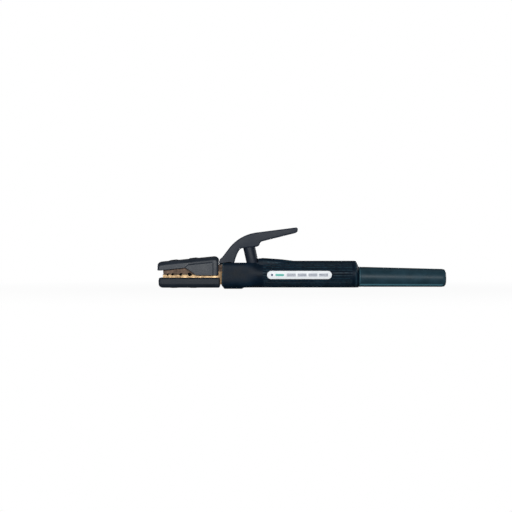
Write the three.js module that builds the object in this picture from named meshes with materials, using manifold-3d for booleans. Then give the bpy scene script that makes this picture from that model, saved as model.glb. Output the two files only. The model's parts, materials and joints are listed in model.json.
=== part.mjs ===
// A lever-type electrode holder for manual metal arc welding, laid out as it comes apart on a bench.
// Squeezing the lever turns the upper jaw about the pivot pin and lifts it off the lower jaw, and the
// spring in the sleeve closes it again. The welding cable comes in through the rubber boot and is clamped
// by two grub screws in the socket inside the handle.
// Millimetres and degrees. +X points to the cable end, +Y away from the label and +Z up, the lever's side.
// Pieces are laid out from the top of the handle's front face (x = 0) and the grip's axis (y = z = 0).
// The whole group is then moved, so that its origin is the middle of the holder's length, at the height
// of its lowest face.

import * as THREE from "three";
import { ConvexGeometry } from "three/addons/geometries/ConvexGeometry.js";
import { mergeVertices } from "three/addons/utils/BufferGeometryUtils.js";
import Module from "manifold-3d";

const wasm = await Module();
wasm.setup();

// ---------------------------------------------------------------- driving dimensions

const GAP = 0.3; // left between pieces that touch

// Handle: a box-shaped collar open at the top, then a ribbed round grip.
const HANDLE_LENGTH = 157;
const HANDLE_RADIUS = 15.5;
const HANDLE_WALL = 2.8;
const COLLAR_LENGTH = 26;
const COLLAR_CUT = 2.2; // the collar's open top lies this far below the grip's top
const COLLAR_CORNER = 7; // radius of the collar's long edges
const PAD_DROP = 1.4; // the screw pad stands this far below the grip's underside
const PAD_LENGTH = 22;
const PAD_CHAMFER = 4; // height of the slant at the collar's lower front edge
const FRONT_LEAN = 1.5; // the front face leans this far towards the jaws, from its top to its bottom
const THUMB_RISE = 3.2; // height of the hump behind the sleeve
const THUMB_RUN = 39; // length over which the hump dies out
const THUMB_WIDTH = 22.6; // its cheeks stand on both sides of the sleeve's slot
const RIB_COUNT = 30;
const RIB_DEPTH = 0.6;
const SMOOTH_END = 4; // unribbed band before it
const END_TAPER = 3.4; // length of the slanted rear end

// Pivot of the upper jaw and lever.
const PIVOT_X = 7;
const PIVOT_DEPTH = 10.5; // below the grip's top line
const PIN_RADIUS = 3;
const PIN_HEAD = 1.6;
const HUB_RADIUS = 7.2;
const HUB_WIDTH = 8.8;
const WASHER = 0.8;
const TRAVEL = 16; // the lever's full squeeze, in degrees

// Head: two jaws in insulating covers.
const HEAD_GAP = 4.8; // bare metal between the covers and the handle
const HEAD_LENGTH = 70.5;
const HEAD_SLOPE = 5.75; // the upper cover climbs this steeply towards the handle
const HEAD_HEIGHT = 21.5; // top of the upper cover over the clamping line, at its rear
const COVER_WIDTH = 24;
const COVER_WALL = 3.4;
const COVER_ROUNDING = 5.6; // of the upper cover's top edges
const COVER_BAR = 10.4; // height of the upper cover's front bar
const COVER_FLOOR = 4; // under the lower jaw
const COVER_RIM = 3.7; // the lower cover ends this far below the clamping line
const COVER_STEP = 1.35; // the lower cover sits this far behind the upper one
const SKIRT_LENGTH = 37.7;
const SKIRT_WIDTH = 25.2;
const SKIRT_DROP = 1.4; // the skirts reach this far below the clamping line
const NOSE_WALL = 5.4; // from the nose to the jaws' front
const JAW_DROP = 5.2; // the clamping line lies this far below the pivot
const JAW_BITE = 0.4; // gap between the closed jaws
const LOWER_JAW_WIDTH = 16.4;
const UPPER_JAW_WIDTH = 14;
const LOWER_JAW_DEPTH = 11.1;
// Each groove for an electrode: distance behind the jaws' front at the label's side, radius and slant.
const ELECTRODE_SEATS = [
  [5.5, 1.3, 30],
  [10.9, 1.3, 30],
  [20.5, 1.7, 25],
  [31.2, 2.1, -28],
];

// Lever: arm, moulding and the sleeve of its spring.
const LEVER_WIDTH = 18;
const LEVER_REACH = 79.6; // from the pivot to the lever's tip, along x
const LEVER_SLOPE = 7.3; // the thumb rest's slope
const CROWN_RADIUS = 47.6; // the bend between the front arm and the thumb rest
const ARM_COVER = 3; // moulding over the metal arm
const ARM_DEPTH = 4;
const ARM_WIDTH = 7.4;
const SLEEVE_ARM = 28.5; // from the pivot to the sleeve's axis
const SLEEVE_TILT = 12.6; // the sleeve leans towards the jaws
const SLEEVE_RADIUS = 7;
const SLEEVE_BORE = 5.9;
const SLEEVE_LENGTH = 24.7;
const SPRING_RADIUS = 4; // to the middle of the wire
const SPRING_WIRE = 0.8; // radius of the wire
const SPRING_TURNS = 11;

// Cable end: socket in the handle, rubber boot behind it.
const CABLE_BORE = 8.3; // radius of the boot's hole
const BOOT_LENGTH = 100.2;
const BOOT_LIP = 6.4; // radius of the hole in the lip at the boot's end
const BOOT_FRONT_RADIUS = 11.7;
const BOOT_REAR_RADIUS = 10.4;
const BOOT_FLUSH = 0.7; // the boot's underside lies this far above the grip's
const BOOT_NECK_RADIUS = 9.7;
const BOOT_NECK_LENGTH = 14;
const BOOT_BEAD = 0.8; // the snap-in bead stands this far out of the neck
const SOCKET_RADIUS = 9;
const SOCKET_BORE = 6.3;
const SOCKET_ROOM = 22.8; // free cable between the socket and the boot's neck
const SPIGOT_RADIUS = 5;
const SPIGOT_LENGTH = 14;
const GRUB_RADIUS = 4;
const GRUB_LENGTH = 8.5;

// Label on the side of the grip.
const LABEL_LENGTH = 74.4;
const LABEL_HEIGHT = 9.4;
const LABEL_THICKNESS = 0.5;
const LABEL_START = 51; // from the handle's front face
const LABEL_DROP = 0.8; // its middle lies this far below the grip's axis

// ---------------------------------------------------------------- sizes that follow from them

const radians = THREE.MathUtils.degToRad;
const pivot = { x: PIVOT_X, z: HANDLE_RADIUS - PIVOT_DEPTH };
const earRadius = HUB_RADIUS - 0.2;
const clampZ = pivot.z - JAW_DROP; // the line where the jaws meet
const cableZ = -HANDLE_RADIUS + BOOT_FLUSH + BOOT_FRONT_RADIUS; // axis of socket and boot
const collarTop = HANDLE_RADIUS - COLLAR_CUT;
const padBottom = -HANDLE_RADIUS - PAD_DROP;
const collarInner = HANDLE_RADIUS - HANDLE_WALL - 0.2;
const collarFloor = padBottom + 4.7;
const gripBore = HANDLE_RADIUS - HANDLE_WALL;
const earInner = HUB_WIDTH / 2 + WASHER + 2 * GAP;
const earOuter = collarInner - GAP - PIN_HEAD - 2 * GAP - 0.2;
const headRear = -HEAD_GAP;
const noseX = headRear - HEAD_LENGTH;
const jawFront = noseX + NOSE_WALL + 0.8;
const jawBottom = clampZ - LOWER_JAW_DEPTH;
const sleeveFoot = { // the point of the sleeve's axis nearest the pivot, where the sleeve ends
  x: pivot.x + SLEEVE_ARM * Math.cos(radians(SLEEVE_TILT)),
  z: pivot.z + SLEEVE_ARM * Math.sin(radians(SLEEVE_TILT)),
};
const seatThickness = 1.6;
const seatHeight = -(SLEEVE_ARM * Math.sin(radians(TRAVEL)) + 2.4); // from the sleeve's foot, on its axis
const slotEnd = sleeveFoot.x + SLEEVE_RADIUS / Math.cos(radians(SLEEVE_TILT)) + 2.6;
const slotHalfWidth = SLEEVE_RADIUS + 0.9;
const spigotStart = slotEnd + 2;
const socketStart = spigotStart + GAP;
const neckStart = HANDLE_LENGTH - BOOT_NECK_LENGTH - GAP;
const beadRoom = 5; // length of the handle's bore that is widened for the boot's bead
const socketLength = neckStart - beadRoom - SOCKET_ROOM - socketStart;
const bootStart = HANDLE_LENGTH + 2 * GAP;
const bootEnd = bootStart + BOOT_LENGTH;
const bootRearZ = cableZ - (BOOT_FRONT_RADIUS - BOOT_REAR_RADIUS); // keeps the boot's underside level

// Height of the upper cover's top line over x.
const headTop = (x) => clampZ + HEAD_HEIGHT + (x - headRear) * Math.tan(radians(HEAD_SLOPE));

// ---------------------------------------------------------------- solids

// A closed geometry as a solid that can be joined and cut.
function solid(geometry) {
  const bare = new THREE.BufferGeometry().setAttribute("position", geometry.getAttribute("position"));
  if (geometry.index) bare.setIndex(geometry.index);
  const merged = mergeVertices(bare, 1e-4);
  const corners = Array.from(merged.index.array);
  const triVerts = [];
  for (let i = 0; i < corners.length; i += 3) {
    const [a, b, c] = corners.slice(i, i + 3);
    if (a !== b && b !== c && c !== a) triVerts.push(a, b, c);
  }
  return new wasm.Manifold(
    new wasm.Mesh({
      numProp: 3,
      vertProperties: merged.attributes.position.array,
      triVerts: new Uint32Array(triVerts),
    }),
  );
}

// A solid as a geometry with flat faces.
function geometryOf(made) {
  const mesh = made.getMesh();
  const geometry = new THREE.BufferGeometry()
    .setAttribute("position", new THREE.BufferAttribute(mesh.vertProperties, mesh.numProp))
    .setIndex(new THREE.BufferAttribute(mesh.triVerts, 1))
    .toNonIndexed();
  geometry.computeVertexNormals();
  return geometry;
}

const joined = (...solids) => solids.reduce((sum, next) => sum.add(next));
const cut = (from, ...tools) => tools.reduce((rest, tool) => rest.subtract(tool), from);

// A closed outline in the XZ plane through corners [x, z, rounding].
function outline(corners) {
  const shape = new THREE.Shape();
  corners.forEach(([x, z, rounding = 0], i) => {
    const corner = new THREE.Vector2(x, z);
    const towards = ([tx, tz]) =>
      corner.clone().add(new THREE.Vector2(tx - x, tz - z).setLength(rounding));
    const start = towards(corners.at(i - 1));
    const end = towards(corners[(i + 1) % corners.length]);
    if (i === 0) shape.moveTo(start.x, start.y);
    else shape.lineTo(start.x, start.y);
    if (rounding > 0) shape.quadraticCurveTo(x, z, end.x, end.y);
  });
  shape.closePath();
  return shape;
}

// An XZ outline as a slab from y0 to y1. Its long edges are rounded by bevel.
function slab(shape, y0, y1, bevel = 0, curveSegments = 4) {
  const geometry = new THREE.ExtrudeGeometry(shape, {
    depth: y1 - y0 - 2 * bevel,
    curveSegments,
    bevelEnabled: bevel > 0,
    bevelThickness: bevel,
    bevelSize: bevel,
    bevelOffset: -bevel,
    bevelSegments: 3,
  });
  geometry.rotateX(Math.PI / 2);
  geometry.translate(0, y1 - bevel, 0);
  return solid(geometry);
}

// A slab that reaches as far to both sides of the middle plane.
const middleSlab = (shape, width, bevel, curveSegments) =>
  slab(shape, -width / 2, width / 2, bevel, curveSegments);

// A block between two corners.
function block(x0, x1, y0, y1, z0, z1) {
  const geometry = new THREE.BoxGeometry(x1 - x0, y1 - y0, z1 - z0);
  geometry.translate((x0 + x1) / 2, (y0 + y1) / 2, (z0 + z1) / 2);
  return solid(geometry);
}

// A round bar between two points.
function bar(radius, from, to, facets = 24) {
  const start = new THREE.Vector3(...from);
  const way = new THREE.Vector3(...to).sub(start);
  const geometry = new THREE.CylinderGeometry(radius, radius, way.length(), facets);
  geometry.translate(0, way.length() / 2, 0);
  const up = new THREE.Vector3(0, 1, 0);
  geometry.applyQuaternion(new THREE.Quaternion().setFromUnitVectors(up, way.normalize()));
  geometry.translate(start.x, start.y, start.z);
  return solid(geometry);
}

// A round bar along Z, and one along X at the height z.
const upright = (radius, x, z0, z1, facets) => bar(radius, [x, 0, z0], [x, 0, z1], facets);
const level = (radius, x0, x1, z, facets) => bar(radius, [x0, 0, z], [x1, 0, z], facets);

// A turned solid about its own Z axis, from a profile of [radius, z] points that runs up the outside.
function turned(profile, facets = 24) {
  const points = profile.map(([r, z]) => new THREE.Vector2(r, z));
  const geometry = new THREE.LatheGeometry(points, facets);
  geometry.rotateX(Math.PI / 2);
  return solid(geometry);
}

// A tube about Z between two heights.
const tube = (inner, outer, z0, z1, facets) =>
  turned([[inner, z0], [outer, z0], [outer, z1], [inner, z1], [inner, z0]], facets);

// The convex solid round the points of several rings.
const wrapped = (...rings) => solid(new ConvexGeometry(rings.flat()));

// A round ring across X, centred at height z.
function roundRing(x, radius, z = 0, facets = 60) {
  return Array.from({ length: facets }, (_, i) => {
    const turn = (2 * Math.PI * i) / facets;
    return new THREE.Vector3(x, radius * Math.cos(turn), z + radius * Math.sin(turn));
  });
}

// A ring across X in the shape of a rectangle with round corners.
function boxRing(x, halfWidth, bottom, top, corner, steps = 4) {
  const centres = [[1, top - corner], [-1, top - corner], [-1, bottom + corner], [1, bottom + corner]];
  return centres.flatMap(([side, z], quarter) =>
    Array.from({ length: steps + 1 }, (_, i) => {
      const turn = (Math.PI / 2) * (quarter + i / steps);
      return new THREE.Vector3(
        x,
        side * (halfWidth - corner) + corner * Math.cos(turn),
        z + corner * Math.sin(turn),
      );
    }),
  );
}

// The placing of a piece whose own +Z leans by tilt degrees from the row's +Z towards +X.
function leaning(x, z, tilt) {
  return new THREE.Matrix4()
    .makeRotationY(radians(tilt))
    .setPosition(x, 0, z);
}

const placed = (made, matrix) => made.transform(matrix.elements);

// ---------------------------------------------------------------- materials

const finish = (color, roughness, metalness) =>
  new THREE.MeshStandardMaterial({ color, roughness, metalness });
const mouldedBlack = finish(0x3a3f47, 0.55, 0);
const coverBlack = finish(0x4a4f56, 0.5, 0);
const gripBlack = finish(0x20262e, 0.6, 0);
const bootBlack = finish(0x26333a, 0.4, 0);
const brass = finish(0xc2a070, 0.45, 0.9);
const darkBrass = finish(0x6e5645, 0.55, 0.85);
const copper = finish(0xb0704a, 0.4, 0.95);
const steel = finish(0x9aa0a6, 0.35, 0.95);
const fibre = finish(0x7a4a35, 0.8, 0);
const labelWhite = finish(0xf4f5f6, 0.5, 0);

const holder = new THREE.Group();

// Adds a piece to the holder as a named mesh.
function add(name, made, material, matrix = new THREE.Matrix4()) {
  const mesh = new THREE.Mesh(geometryOf(made), material);
  mesh.name = name;
  mesh.applyMatrix4(matrix);
  holder.add(mesh);
}

// ---------------------------------------------------------------- places that several pieces share

const sleevePlace = leaning(sleeveFoot.x, sleeveFoot.z, -SLEEVE_TILT);

// A slotted screw: head above its own z = 0, shank below.
const SCREW_HEAD_RADIUS = 3;
const SCREW_HEAD_HEIGHT = 1.6;
const SCREW_RADIUS = 1.5;
const COVER_SCREW_LENGTH = 7;
const LEVER_SCREW_LENGTH = 4.6;

function screw(headRadius, headHeight, shankRadius, shankLength) {
  const body = turned([
    [0, -shankLength],
    [shankRadius - 0.4, -shankLength],
    [shankRadius, -shankLength + 0.4],
    [shankRadius, 0],
    [headRadius, 0],
    [headRadius, headHeight - 0.4],
    [headRadius - 0.4, headHeight],
    [0, headHeight],
  ], 16);
  const slot = block(-headRadius - 1, headRadius + 1, -0.45, 0.45, headHeight / 2, headHeight + 1);
  return cut(body, slot);
}

// The hole for such a screw: a clearance hole for the shank and a recess for the head.
function screwHole(headRadius, shankRadius, shankLength, recess = 12) {
  return joined(
    bar(shankRadius + GAP, [0, 0, -shankLength - GAP], [0, 0, 1], 16),
    bar(headRadius + GAP, [0, 0, -GAP], [0, 0, recess], 16),
  );
}

// Cover screws stand on the cover's slope. Their heads sit sunk in low round bosses.
const coverScrewPlaces = [jawFront + 12.4, jawFront + 35];
const BOSS_RADIUS = 5.8;
const UPPER_BOSS = 1;
const LOWER_BOSS = 0.5;

// A low dome over its own z = 0.
function boss(height) {
  const radius = (BOSS_RADIUS ** 2 + height ** 2) / (2 * height);
  const steps = [1, 0.75, 0.5, 0.25, 0];
  const dome = steps.map((share) => {
    const r = BOSS_RADIUS * share;
    return [r, height - radius + Math.sqrt(radius ** 2 - r ** 2)];
  });
  return turned([[0, -2], [BOSS_RADIUS, -2], ...dome]);
}

const upperScrewPlace = (x) =>
  leaning(x, headTop(x) + UPPER_BOSS - SCREW_HEAD_HEIGHT - 0.9, -HEAD_SLOPE);
const upperBossPlace = (x) => leaning(x, headTop(x), -HEAD_SLOPE);
const lowerCoverBottom = jawBottom - GAP - COVER_FLOOR;
const lowerScrewPlace = (x) =>
  leaning(x, lowerCoverBottom - LOWER_BOSS + SCREW_HEAD_HEIGHT + 0.7, 180);
const lowerBossPlace = (x) => leaning(x, lowerCoverBottom, 180);

// Grooves that hold an electrode at a slant, half in each jaw.
const electrodeGrooves = ELECTRODE_SEATS.map(([along, radius, slant]) => {
  const reach = LOWER_JAW_WIDTH;
  const shift = reach * Math.tan(radians(slant));
  const x = jawFront + along;
  return bar(radius, [x - shift / 2, -reach, clampZ], [x + 1.5 * shift, reach, clampZ], 12);
});

// ---------------------------------------------------------------- lower jaw and what it carries

function lowerJaw() {
  const jaw = middleSlab(
    outline([
      [jawFront, jawBottom, 1],
      [pivot.x, jawBottom],
      [pivot.x, clampZ - JAW_BITE / 2],
      [jawFront, clampZ - JAW_BITE / 2],
    ]),
    LOWER_JAW_WIDTH,
  );
  const hingeTop = pivot.z - 2.2;
  const coverRear = headRear + COVER_STEP;
  const rim = clampZ - COVER_RIM + GAP;
  const hinge = middleSlab(
    outline([
      [coverRear + GAP, collarFloor + GAP],
      [COLLAR_LENGTH - 4, collarFloor + GAP, 1],
      [COLLAR_LENGTH - 4, clampZ - 4],
      [pivot.x + earRadius, clampZ - 2, 2],
      [pivot.x + earRadius, hingeTop],
      [headRear + 1, hingeTop],
      [headRear + 1, rim],
      [coverRear + GAP, rim],
    ]),
    2 * earOuter,
  );
  const ears = bar(earRadius, [pivot.x, -earOuter, pivot.z], [pivot.x, earOuter, pivot.z], 32);
  const seatRadius = HUB_RADIUS + 2 * GAP;
  const hubSeat = bar(seatRadius, [pivot.x, -earInner, pivot.z], [pivot.x, earInner, pivot.z], 32);
  const betweenEars = block(headRear, 2 * pivot.x + earRadius, -earInner, earInner, pivot.z, collarTop);
  const underNeck = block(headRear, pivot.x, -earInner, earInner, hingeTop, collarTop);

  // The tail carries the spring seat on a slant and ends in the spigot of the cable socket.
  const seatBottom = seatHeight - seatThickness - GAP;
  const seatPoint = (across) => {
    const spot = new THREE.Vector3(across, 0, seatBottom).applyMatrix4(sleevePlace);
    return [spot.x, spot.z];
  };
  const tailHalfWidth = gripBore * 0.6;
  const tailBottom = -Math.sqrt((gripBore - GAP) ** 2 - tailHalfWidth ** 2);
  const tail = middleSlab(
    outline([
      [COLLAR_LENGTH - 8, tailBottom],
      [spigotStart, tailBottom, 1],
      [spigotStart, cableZ + SPIGOT_RADIUS],
      seatPoint(SLEEVE_RADIUS),
      seatPoint(-SLEEVE_RADIUS),
      [sleeveFoot.x - SLEEVE_RADIUS, clampZ - 4],
      [COLLAR_LENGTH - 8, clampZ - 4],
    ]),
    2 * tailHalfWidth,
  );
  const spigot = level(SPIGOT_RADIUS, spigotStart - 2, spigotStart + SPIGOT_LENGTH, cableZ);
  const coverScrewHoles = coverScrewPlaces.map((x) =>
    placed(bar(SCREW_RADIUS + GAP, [0, 0, -8], [0, 0, 4]), lowerScrewPlace(x)),
  );
  return cut(
    joined(jaw, hinge, ears, tail, spigot),
    hubSeat,
    betweenEars,
    underNeck,
    bar(PIN_RADIUS + GAP, [pivot.x, -20, pivot.z], [pivot.x, 20, pivot.z]),
    placed(bar(2 + GAP, [0, 0, seatBottom - 6 - GAP], [0, 0, seatBottom + 1]), sleevePlace),
    bar(2 + GAP, [crossPinX, -20, cableZ], [crossPinX, 20, cableZ]),
    upright(HANDLE_SCREW_RADIUS + GAP, handleScrewX, collarFloor - 1, handleScrewTip + GAP),
    ...electrodeGrooves,
    ...coverScrewHoles,
  );
}

const crossPinX = spigotStart + SPIGOT_LENGTH / 2;
const HANDLE_SCREW_RADIUS = 2.2;
const HANDLE_SCREW_HEAD = 4.3;
const handleScrewX = PAD_LENGTH - 4.6;
const handleScrewSeat = collarFloor - 2;
const handleScrewTip = collarFloor + 5.4;

add("lower_jaw", lowerJaw(), brass);

// ---------------------------------------------------------------- pivot pin, ring and washers

// Pieces turned about the pivot's axis: their own +Z points along the row's -Y.
const pinPlace = new THREE.Matrix4().makeRotationX(Math.PI / 2).setPosition(pivot.x, 0, pivot.z);
const ringThickness = 0.8;
const pinEnd = earOuter + ringThickness + 3 * GAP + 0.6;
const grooveStart = earOuter + GAP - GAP / 2;

add(
  "pivot_pin",
  turned([
    [0, -pinEnd],
    [PIN_RADIUS - 0.4, -pinEnd],
    [PIN_RADIUS, -pinEnd + 0.4],
    [PIN_RADIUS, -grooveStart - ringThickness - 2 * GAP],
    [PIN_RADIUS - 0.8, -grooveStart - ringThickness - 2 * GAP],
    [PIN_RADIUS - 0.8, -grooveStart],
    [PIN_RADIUS, -grooveStart],
    [PIN_RADIUS, earOuter + GAP],
    [PIN_RADIUS + 1.6, earOuter + GAP],
    [PIN_RADIUS + 1.6, earOuter + GAP + PIN_HEAD - 0.4],
    [PIN_RADIUS + 1.2, earOuter + GAP + PIN_HEAD],
    [0, earOuter + GAP + PIN_HEAD],
  ]),
  steel,
  pinPlace,
);

const ringStart = grooveStart + GAP;
add(
  "pivot_snap_ring",
  cut(
    tube(PIN_RADIUS - 0.8 + GAP, PIN_RADIUS + 1.7, -ringStart - ringThickness, -ringStart),
    block(0, 10, -1, 1, -ringStart - 2, -ringStart + 2),
  ),
  steel,
  pinPlace,
);

for (const [name, side] of [["pivot_washer_left", 1], ["pivot_washer_right", -1]]) {
  const middle = side * (HUB_WIDTH / 2 + GAP + WASHER / 2);
  const washer = tube(PIN_RADIUS + GAP, earRadius - 0.3, middle - WASHER / 2, middle + WASHER / 2);
  add(name, washer, fibre, pinPlace);
}

// ---------------------------------------------------------------- upper jaw and its arm

// The lever's crown is an arc about this point, between the front arm and the thumb rest.
const crown = { x: pivot.x + 37.9, z: pivot.z - 4.1 };
const crownEnd = Math.PI / 2 + radians(LEVER_SLOPE);
const crownStart = radians(139);

// A point of the lever's back, moved in by inset: on the crown at an angle, or on the thumb rest at an x.
const onCrown = (angle, inset) => [
  crown.x + (CROWN_RADIUS - inset) * Math.cos(angle),
  crown.z + (CROWN_RADIUS - inset) * Math.sin(angle),
];
function onThumbRest(x, inset) {
  const [endX, endZ] = onCrown(crownEnd, inset);
  return [x, endZ + (x - endX) * Math.tan(radians(LEVER_SLOPE))];
}

// The arm's outline, grown by GAP for the cavity that holds it.
function armOutline(grown) {
  const back = ARM_COVER - grown;
  const belly = ARM_COVER + ARM_DEPTH + grown;
  const armEnd = pivot.x + 49 + grown;
  const shape = new THREE.Shape();
  shape.moveTo(pivot.x - 4.6 - grown, pivot.z + 3);
  shape.lineTo(...onCrown(crownStart, back));
  shape.absarc(crown.x, crown.z, CROWN_RADIUS - back, crownStart, crownEnd, true);
  shape.lineTo(...onThumbRest(armEnd, back));
  shape.lineTo(...onThumbRest(armEnd, belly));
  shape.lineTo(...onCrown(crownEnd, belly));
  shape.absarc(crown.x, crown.z, CROWN_RADIUS - belly, crownEnd, crownStart, false);
  shape.lineTo(pivot.x + 4.2 + grown, pivot.z + 12);
  shape.lineTo(pivot.x + 4.2 + grown, pivot.z + 3);
  shape.closePath();
  return shape;
}

function upperJaw() {
  const roof = (x) => headTop(x) - COVER_WALL - GAP;
  const teeth = clampZ + JAW_BITE / 2;
  const jaw = middleSlab(
    outline([
      [jawFront - 0.6, roof(jawFront), 1],
      [jawFront + 0.6, teeth],
      [headRear - 4, teeth],
      [headRear - 1, pivot.z - 1.6],
      [headRear - 1, roof(headRear - 3), 1],
    ]),
    UPPER_JAW_WIDTH,
  );
  const neck = middleSlab(
    outline([
      [headRear - 2, pivot.z - 1.6],
      [pivot.x, pivot.z - 1.6],
      [pivot.x, pivot.z + 5.9],
      [headRear - 2, pivot.z + 5.9],
    ]),
    HUB_WIDTH,
  );
  const hub = bar(HUB_RADIUS, [pivot.x, -HUB_WIDTH / 2, pivot.z], [pivot.x, HUB_WIDTH / 2, pivot.z], 32);
  const coverScrewHoles = coverScrewPlaces.map((x) =>
    placed(bar(SCREW_RADIUS + GAP, [0, 0, -8], [0, 0, 4]), upperScrewPlace(x)),
  );
  return cut(
    joined(jaw, neck, hub, middleSlab(armOutline(0), ARM_WIDTH)),
    bar(PIN_RADIUS + GAP, [pivot.x, -20, pivot.z], [pivot.x, 20, pivot.z]),
    placed(bar(SCREW_RADIUS + GAP, [0, 0, -LEVER_SCREW_LENGTH - 2], [0, 0, 1]), leverScrewPlace),
    ...electrodeGrooves,
    ...coverScrewHoles,
  );
}

// The lever's screw comes up through the underside of the thumb rest into the arm.
const leverScrewX = pivot.x + 44.5;
const leverUndersideZ = (x) => pivot.z + 33.1 + (x - pivot.x - 38.8) * Math.tan(radians(14));
const leverScrewPlace = leaning(leverScrewX, leverUndersideZ(leverScrewX) + 2.2, 180 - 10);

add("upper_jaw", upperJaw(), darkBrass);

// ---------------------------------------------------------------- insulating covers and their screws

function upperCover() {
  const under = (x) => headTop(x) - COVER_BAR;
  const half = COVER_WIDTH / 2;
  const ring = (x, inset) =>
    boxRing(x, half - inset / 2, under(x) - COVER_ROUNDING, headTop(x) - inset, COVER_ROUNDING - inset);
  const over = wrapped(
    ring(noseX, 3.6),
    ring(noseX + 1.6, 1.3),
    ring(noseX + 5, 0),
    ring(headRear - 3, 0),
    ring(headRear - 1, 0.7),
    ring(headRear, 2),
  );
  const belowOver = middleSlab(
    outline([
      [noseX - 1, under(noseX - 1)],
      [headRear + 1, under(headRear + 1)],
      [headRear + 1, padBottom],
      [noseX - 1, padBottom],
    ]),
    2 * COVER_WIDTH,
  );
  const skirtFront = headRear - SKIRT_LENGTH;
  const skirtBottom = clampZ - SKIRT_DROP;
  const skirt = middleSlab(
    outline([
      [skirtFront - 2, under(skirtFront) + 1.3],
      [skirtFront + 13.3, skirtBottom, 3],
      [headRear, skirtBottom + 1.5, 1.5],
      [headRear, headTop(headRear) - COVER_ROUNDING, 1.5],
      [skirtFront + 12, headTop(skirtFront + 12) - COVER_ROUNDING - 0.8],
    ]),
    SKIRT_WIDTH,
    0.9,
  );
  const roof = (x) => headTop(x) - COVER_WALL;
  const start = jawFront - 0.6 - GAP;
  const jawSpace = middleSlab(
    outline([
      [start, roof(start)],
      [headRear + 1, roof(headRear + 1)],
      [headRear + 1, padBottom],
      [start, padBottom],
    ]),
    UPPER_JAW_WIDTH + 2 * GAP,
  );
  const lowerJawSpace = block(
    start,
    headRear + 1,
    -LOWER_JAW_WIDTH / 2 - 2 * GAP,
    LOWER_JAW_WIDTH / 2 + 2 * GAP,
    padBottom,
    clampZ + 1,
  );
  const bosses = coverScrewPlaces.map((x) => placed(boss(UPPER_BOSS), upperBossPlace(x)));
  const holes = coverScrewPlaces.map((x) => placed(coverScrewHole, upperScrewPlace(x)));
  return cut(joined(cut(over, belowOver), skirt, ...bosses), jawSpace, lowerJawSpace, ...holes);
}

function lowerCover() {
  const front = noseX + COVER_STEP;
  const rear = headRear + COVER_STEP;
  const rim = clampZ - COVER_RIM;
  const half = COVER_WIDTH / 2;
  const ring = (x, inset, lift, corner) =>
    boxRing(x, half - inset, lowerCoverBottom + lift, clampZ, corner);
  const tray = wrapped(
    ring(front, 1.6, 4, 3),
    ring(front + 1.6, 0.4, 1.4, 4),
    ring(front + 5, 0, 0, 4.2),
    ring(rear - 1.6, 0, 0, 4.2),
    ring(rear, 0.8, 1.4, 4),
  );
  const bosses = coverScrewPlaces.map((x) => placed(boss(LOWER_BOSS), lowerBossPlace(x)));
  const holes = coverScrewPlaces.map((x) => placed(coverScrewHole, lowerScrewPlace(x)));
  return cut(
    joined(tray, ...bosses),
    block(noseX - 1, headRear + 5, -COVER_WIDTH, COVER_WIDTH, rim, rim + 10),
    block(
      jawFront - GAP,
      headRear + 5,
      -LOWER_JAW_WIDTH / 2 - GAP,
      LOWER_JAW_WIDTH / 2 + GAP,
      jawBottom - GAP,
      rim + 10,
    ),
    ...holes,
  );
}

const coverScrewHole = screwHole(SCREW_HEAD_RADIUS, SCREW_RADIUS, COVER_SCREW_LENGTH);
const coverScrew = () => screw(SCREW_HEAD_RADIUS, SCREW_HEAD_HEIGHT, SCREW_RADIUS, COVER_SCREW_LENGTH);

add("upper_insulator", upperCover(), coverBlack);
add("lower_insulator", lowerCover(), coverBlack);
for (const [end, x] of [["front", coverScrewPlaces[0]], ["rear", coverScrewPlaces[1]]]) {
  add("upper_insulator_screw_" + end, coverScrew(), brass, upperScrewPlace(x));
  add("lower_insulator_screw_" + end, coverScrew(), brass, lowerScrewPlace(x));
}

// ---------------------------------------------------------------- lever, sleeve and spring

function leverOutline() {
  const tip = pivot.x + LEVER_REACH;
  const under = leverUndersideZ;
  const [, tipTop] = onThumbRest(tip, 0);
  const heel = pivot.x + 38.8;
  const footX = headRear + 0.6;
  const footBottom = pivot.z + 6.3;
  const clearance = earRadius + 2 * GAP;
  const shape = new THREE.Shape();
  shape.moveTo(footX, footBottom);
  shape.lineTo(footX, footBottom + 3.2);
  shape.quadraticCurveTo(footX, pivot.z + 12.6, pivot.x - 7.9, pivot.z + 14.3);
  shape.lineTo(...onCrown(radians(140), 0));
  shape.absarc(crown.x, crown.z, CROWN_RADIUS, radians(140), crownEnd, true);
  shape.lineTo(...onThumbRest(tip - 3, 0));
  shape.quadraticCurveTo(tip + 0.3, tipTop, tip, (tipTop + under(tip)) / 2);
  shape.quadraticCurveTo(tip - 0.3, under(tip), tip - 3.4, under(tip - 3.4));
  shape.lineTo(heel, under(heel));
  shape.quadraticCurveTo(heel - 2.4, pivot.z + 32.4, heel - 3.2, pivot.z + 29.8);
  shape.quadraticCurveTo(heel - 4.2, pivot.z + 26.9, heel - 8, pivot.z + 26.6);
  shape.lineTo(pivot.x + 15, pivot.z + 24.9);
  shape.quadraticCurveTo(pivot.x + 12.6, pivot.z + 24.4, pivot.x + 11, pivot.z + 21.4);
  shape.quadraticCurveTo(pivot.x + 7.6, pivot.z + 14.6, pivot.x + 6.4, pivot.z + 9);
  shape.absarc(pivot.x, pivot.z, clearance, radians(55), radians(124), false);
  shape.closePath();
  return shape;
}

function leverGrip() {
  return cut(
    middleSlab(leverOutline(), LEVER_WIDTH, 1.4, 5),
    middleSlab(armOutline(GAP), ARM_WIDTH + 2 * GAP),
    placed(bar(SLEEVE_RADIUS + GAP, [0, 0, 4], [0, 0, SLEEVE_LENGTH + GAP], 32), sleevePlace),
    placed(screwHole(SCREW_HEAD_RADIUS, SCREW_RADIUS, LEVER_SCREW_LENGTH), leverScrewPlace),
  );
}

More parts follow.
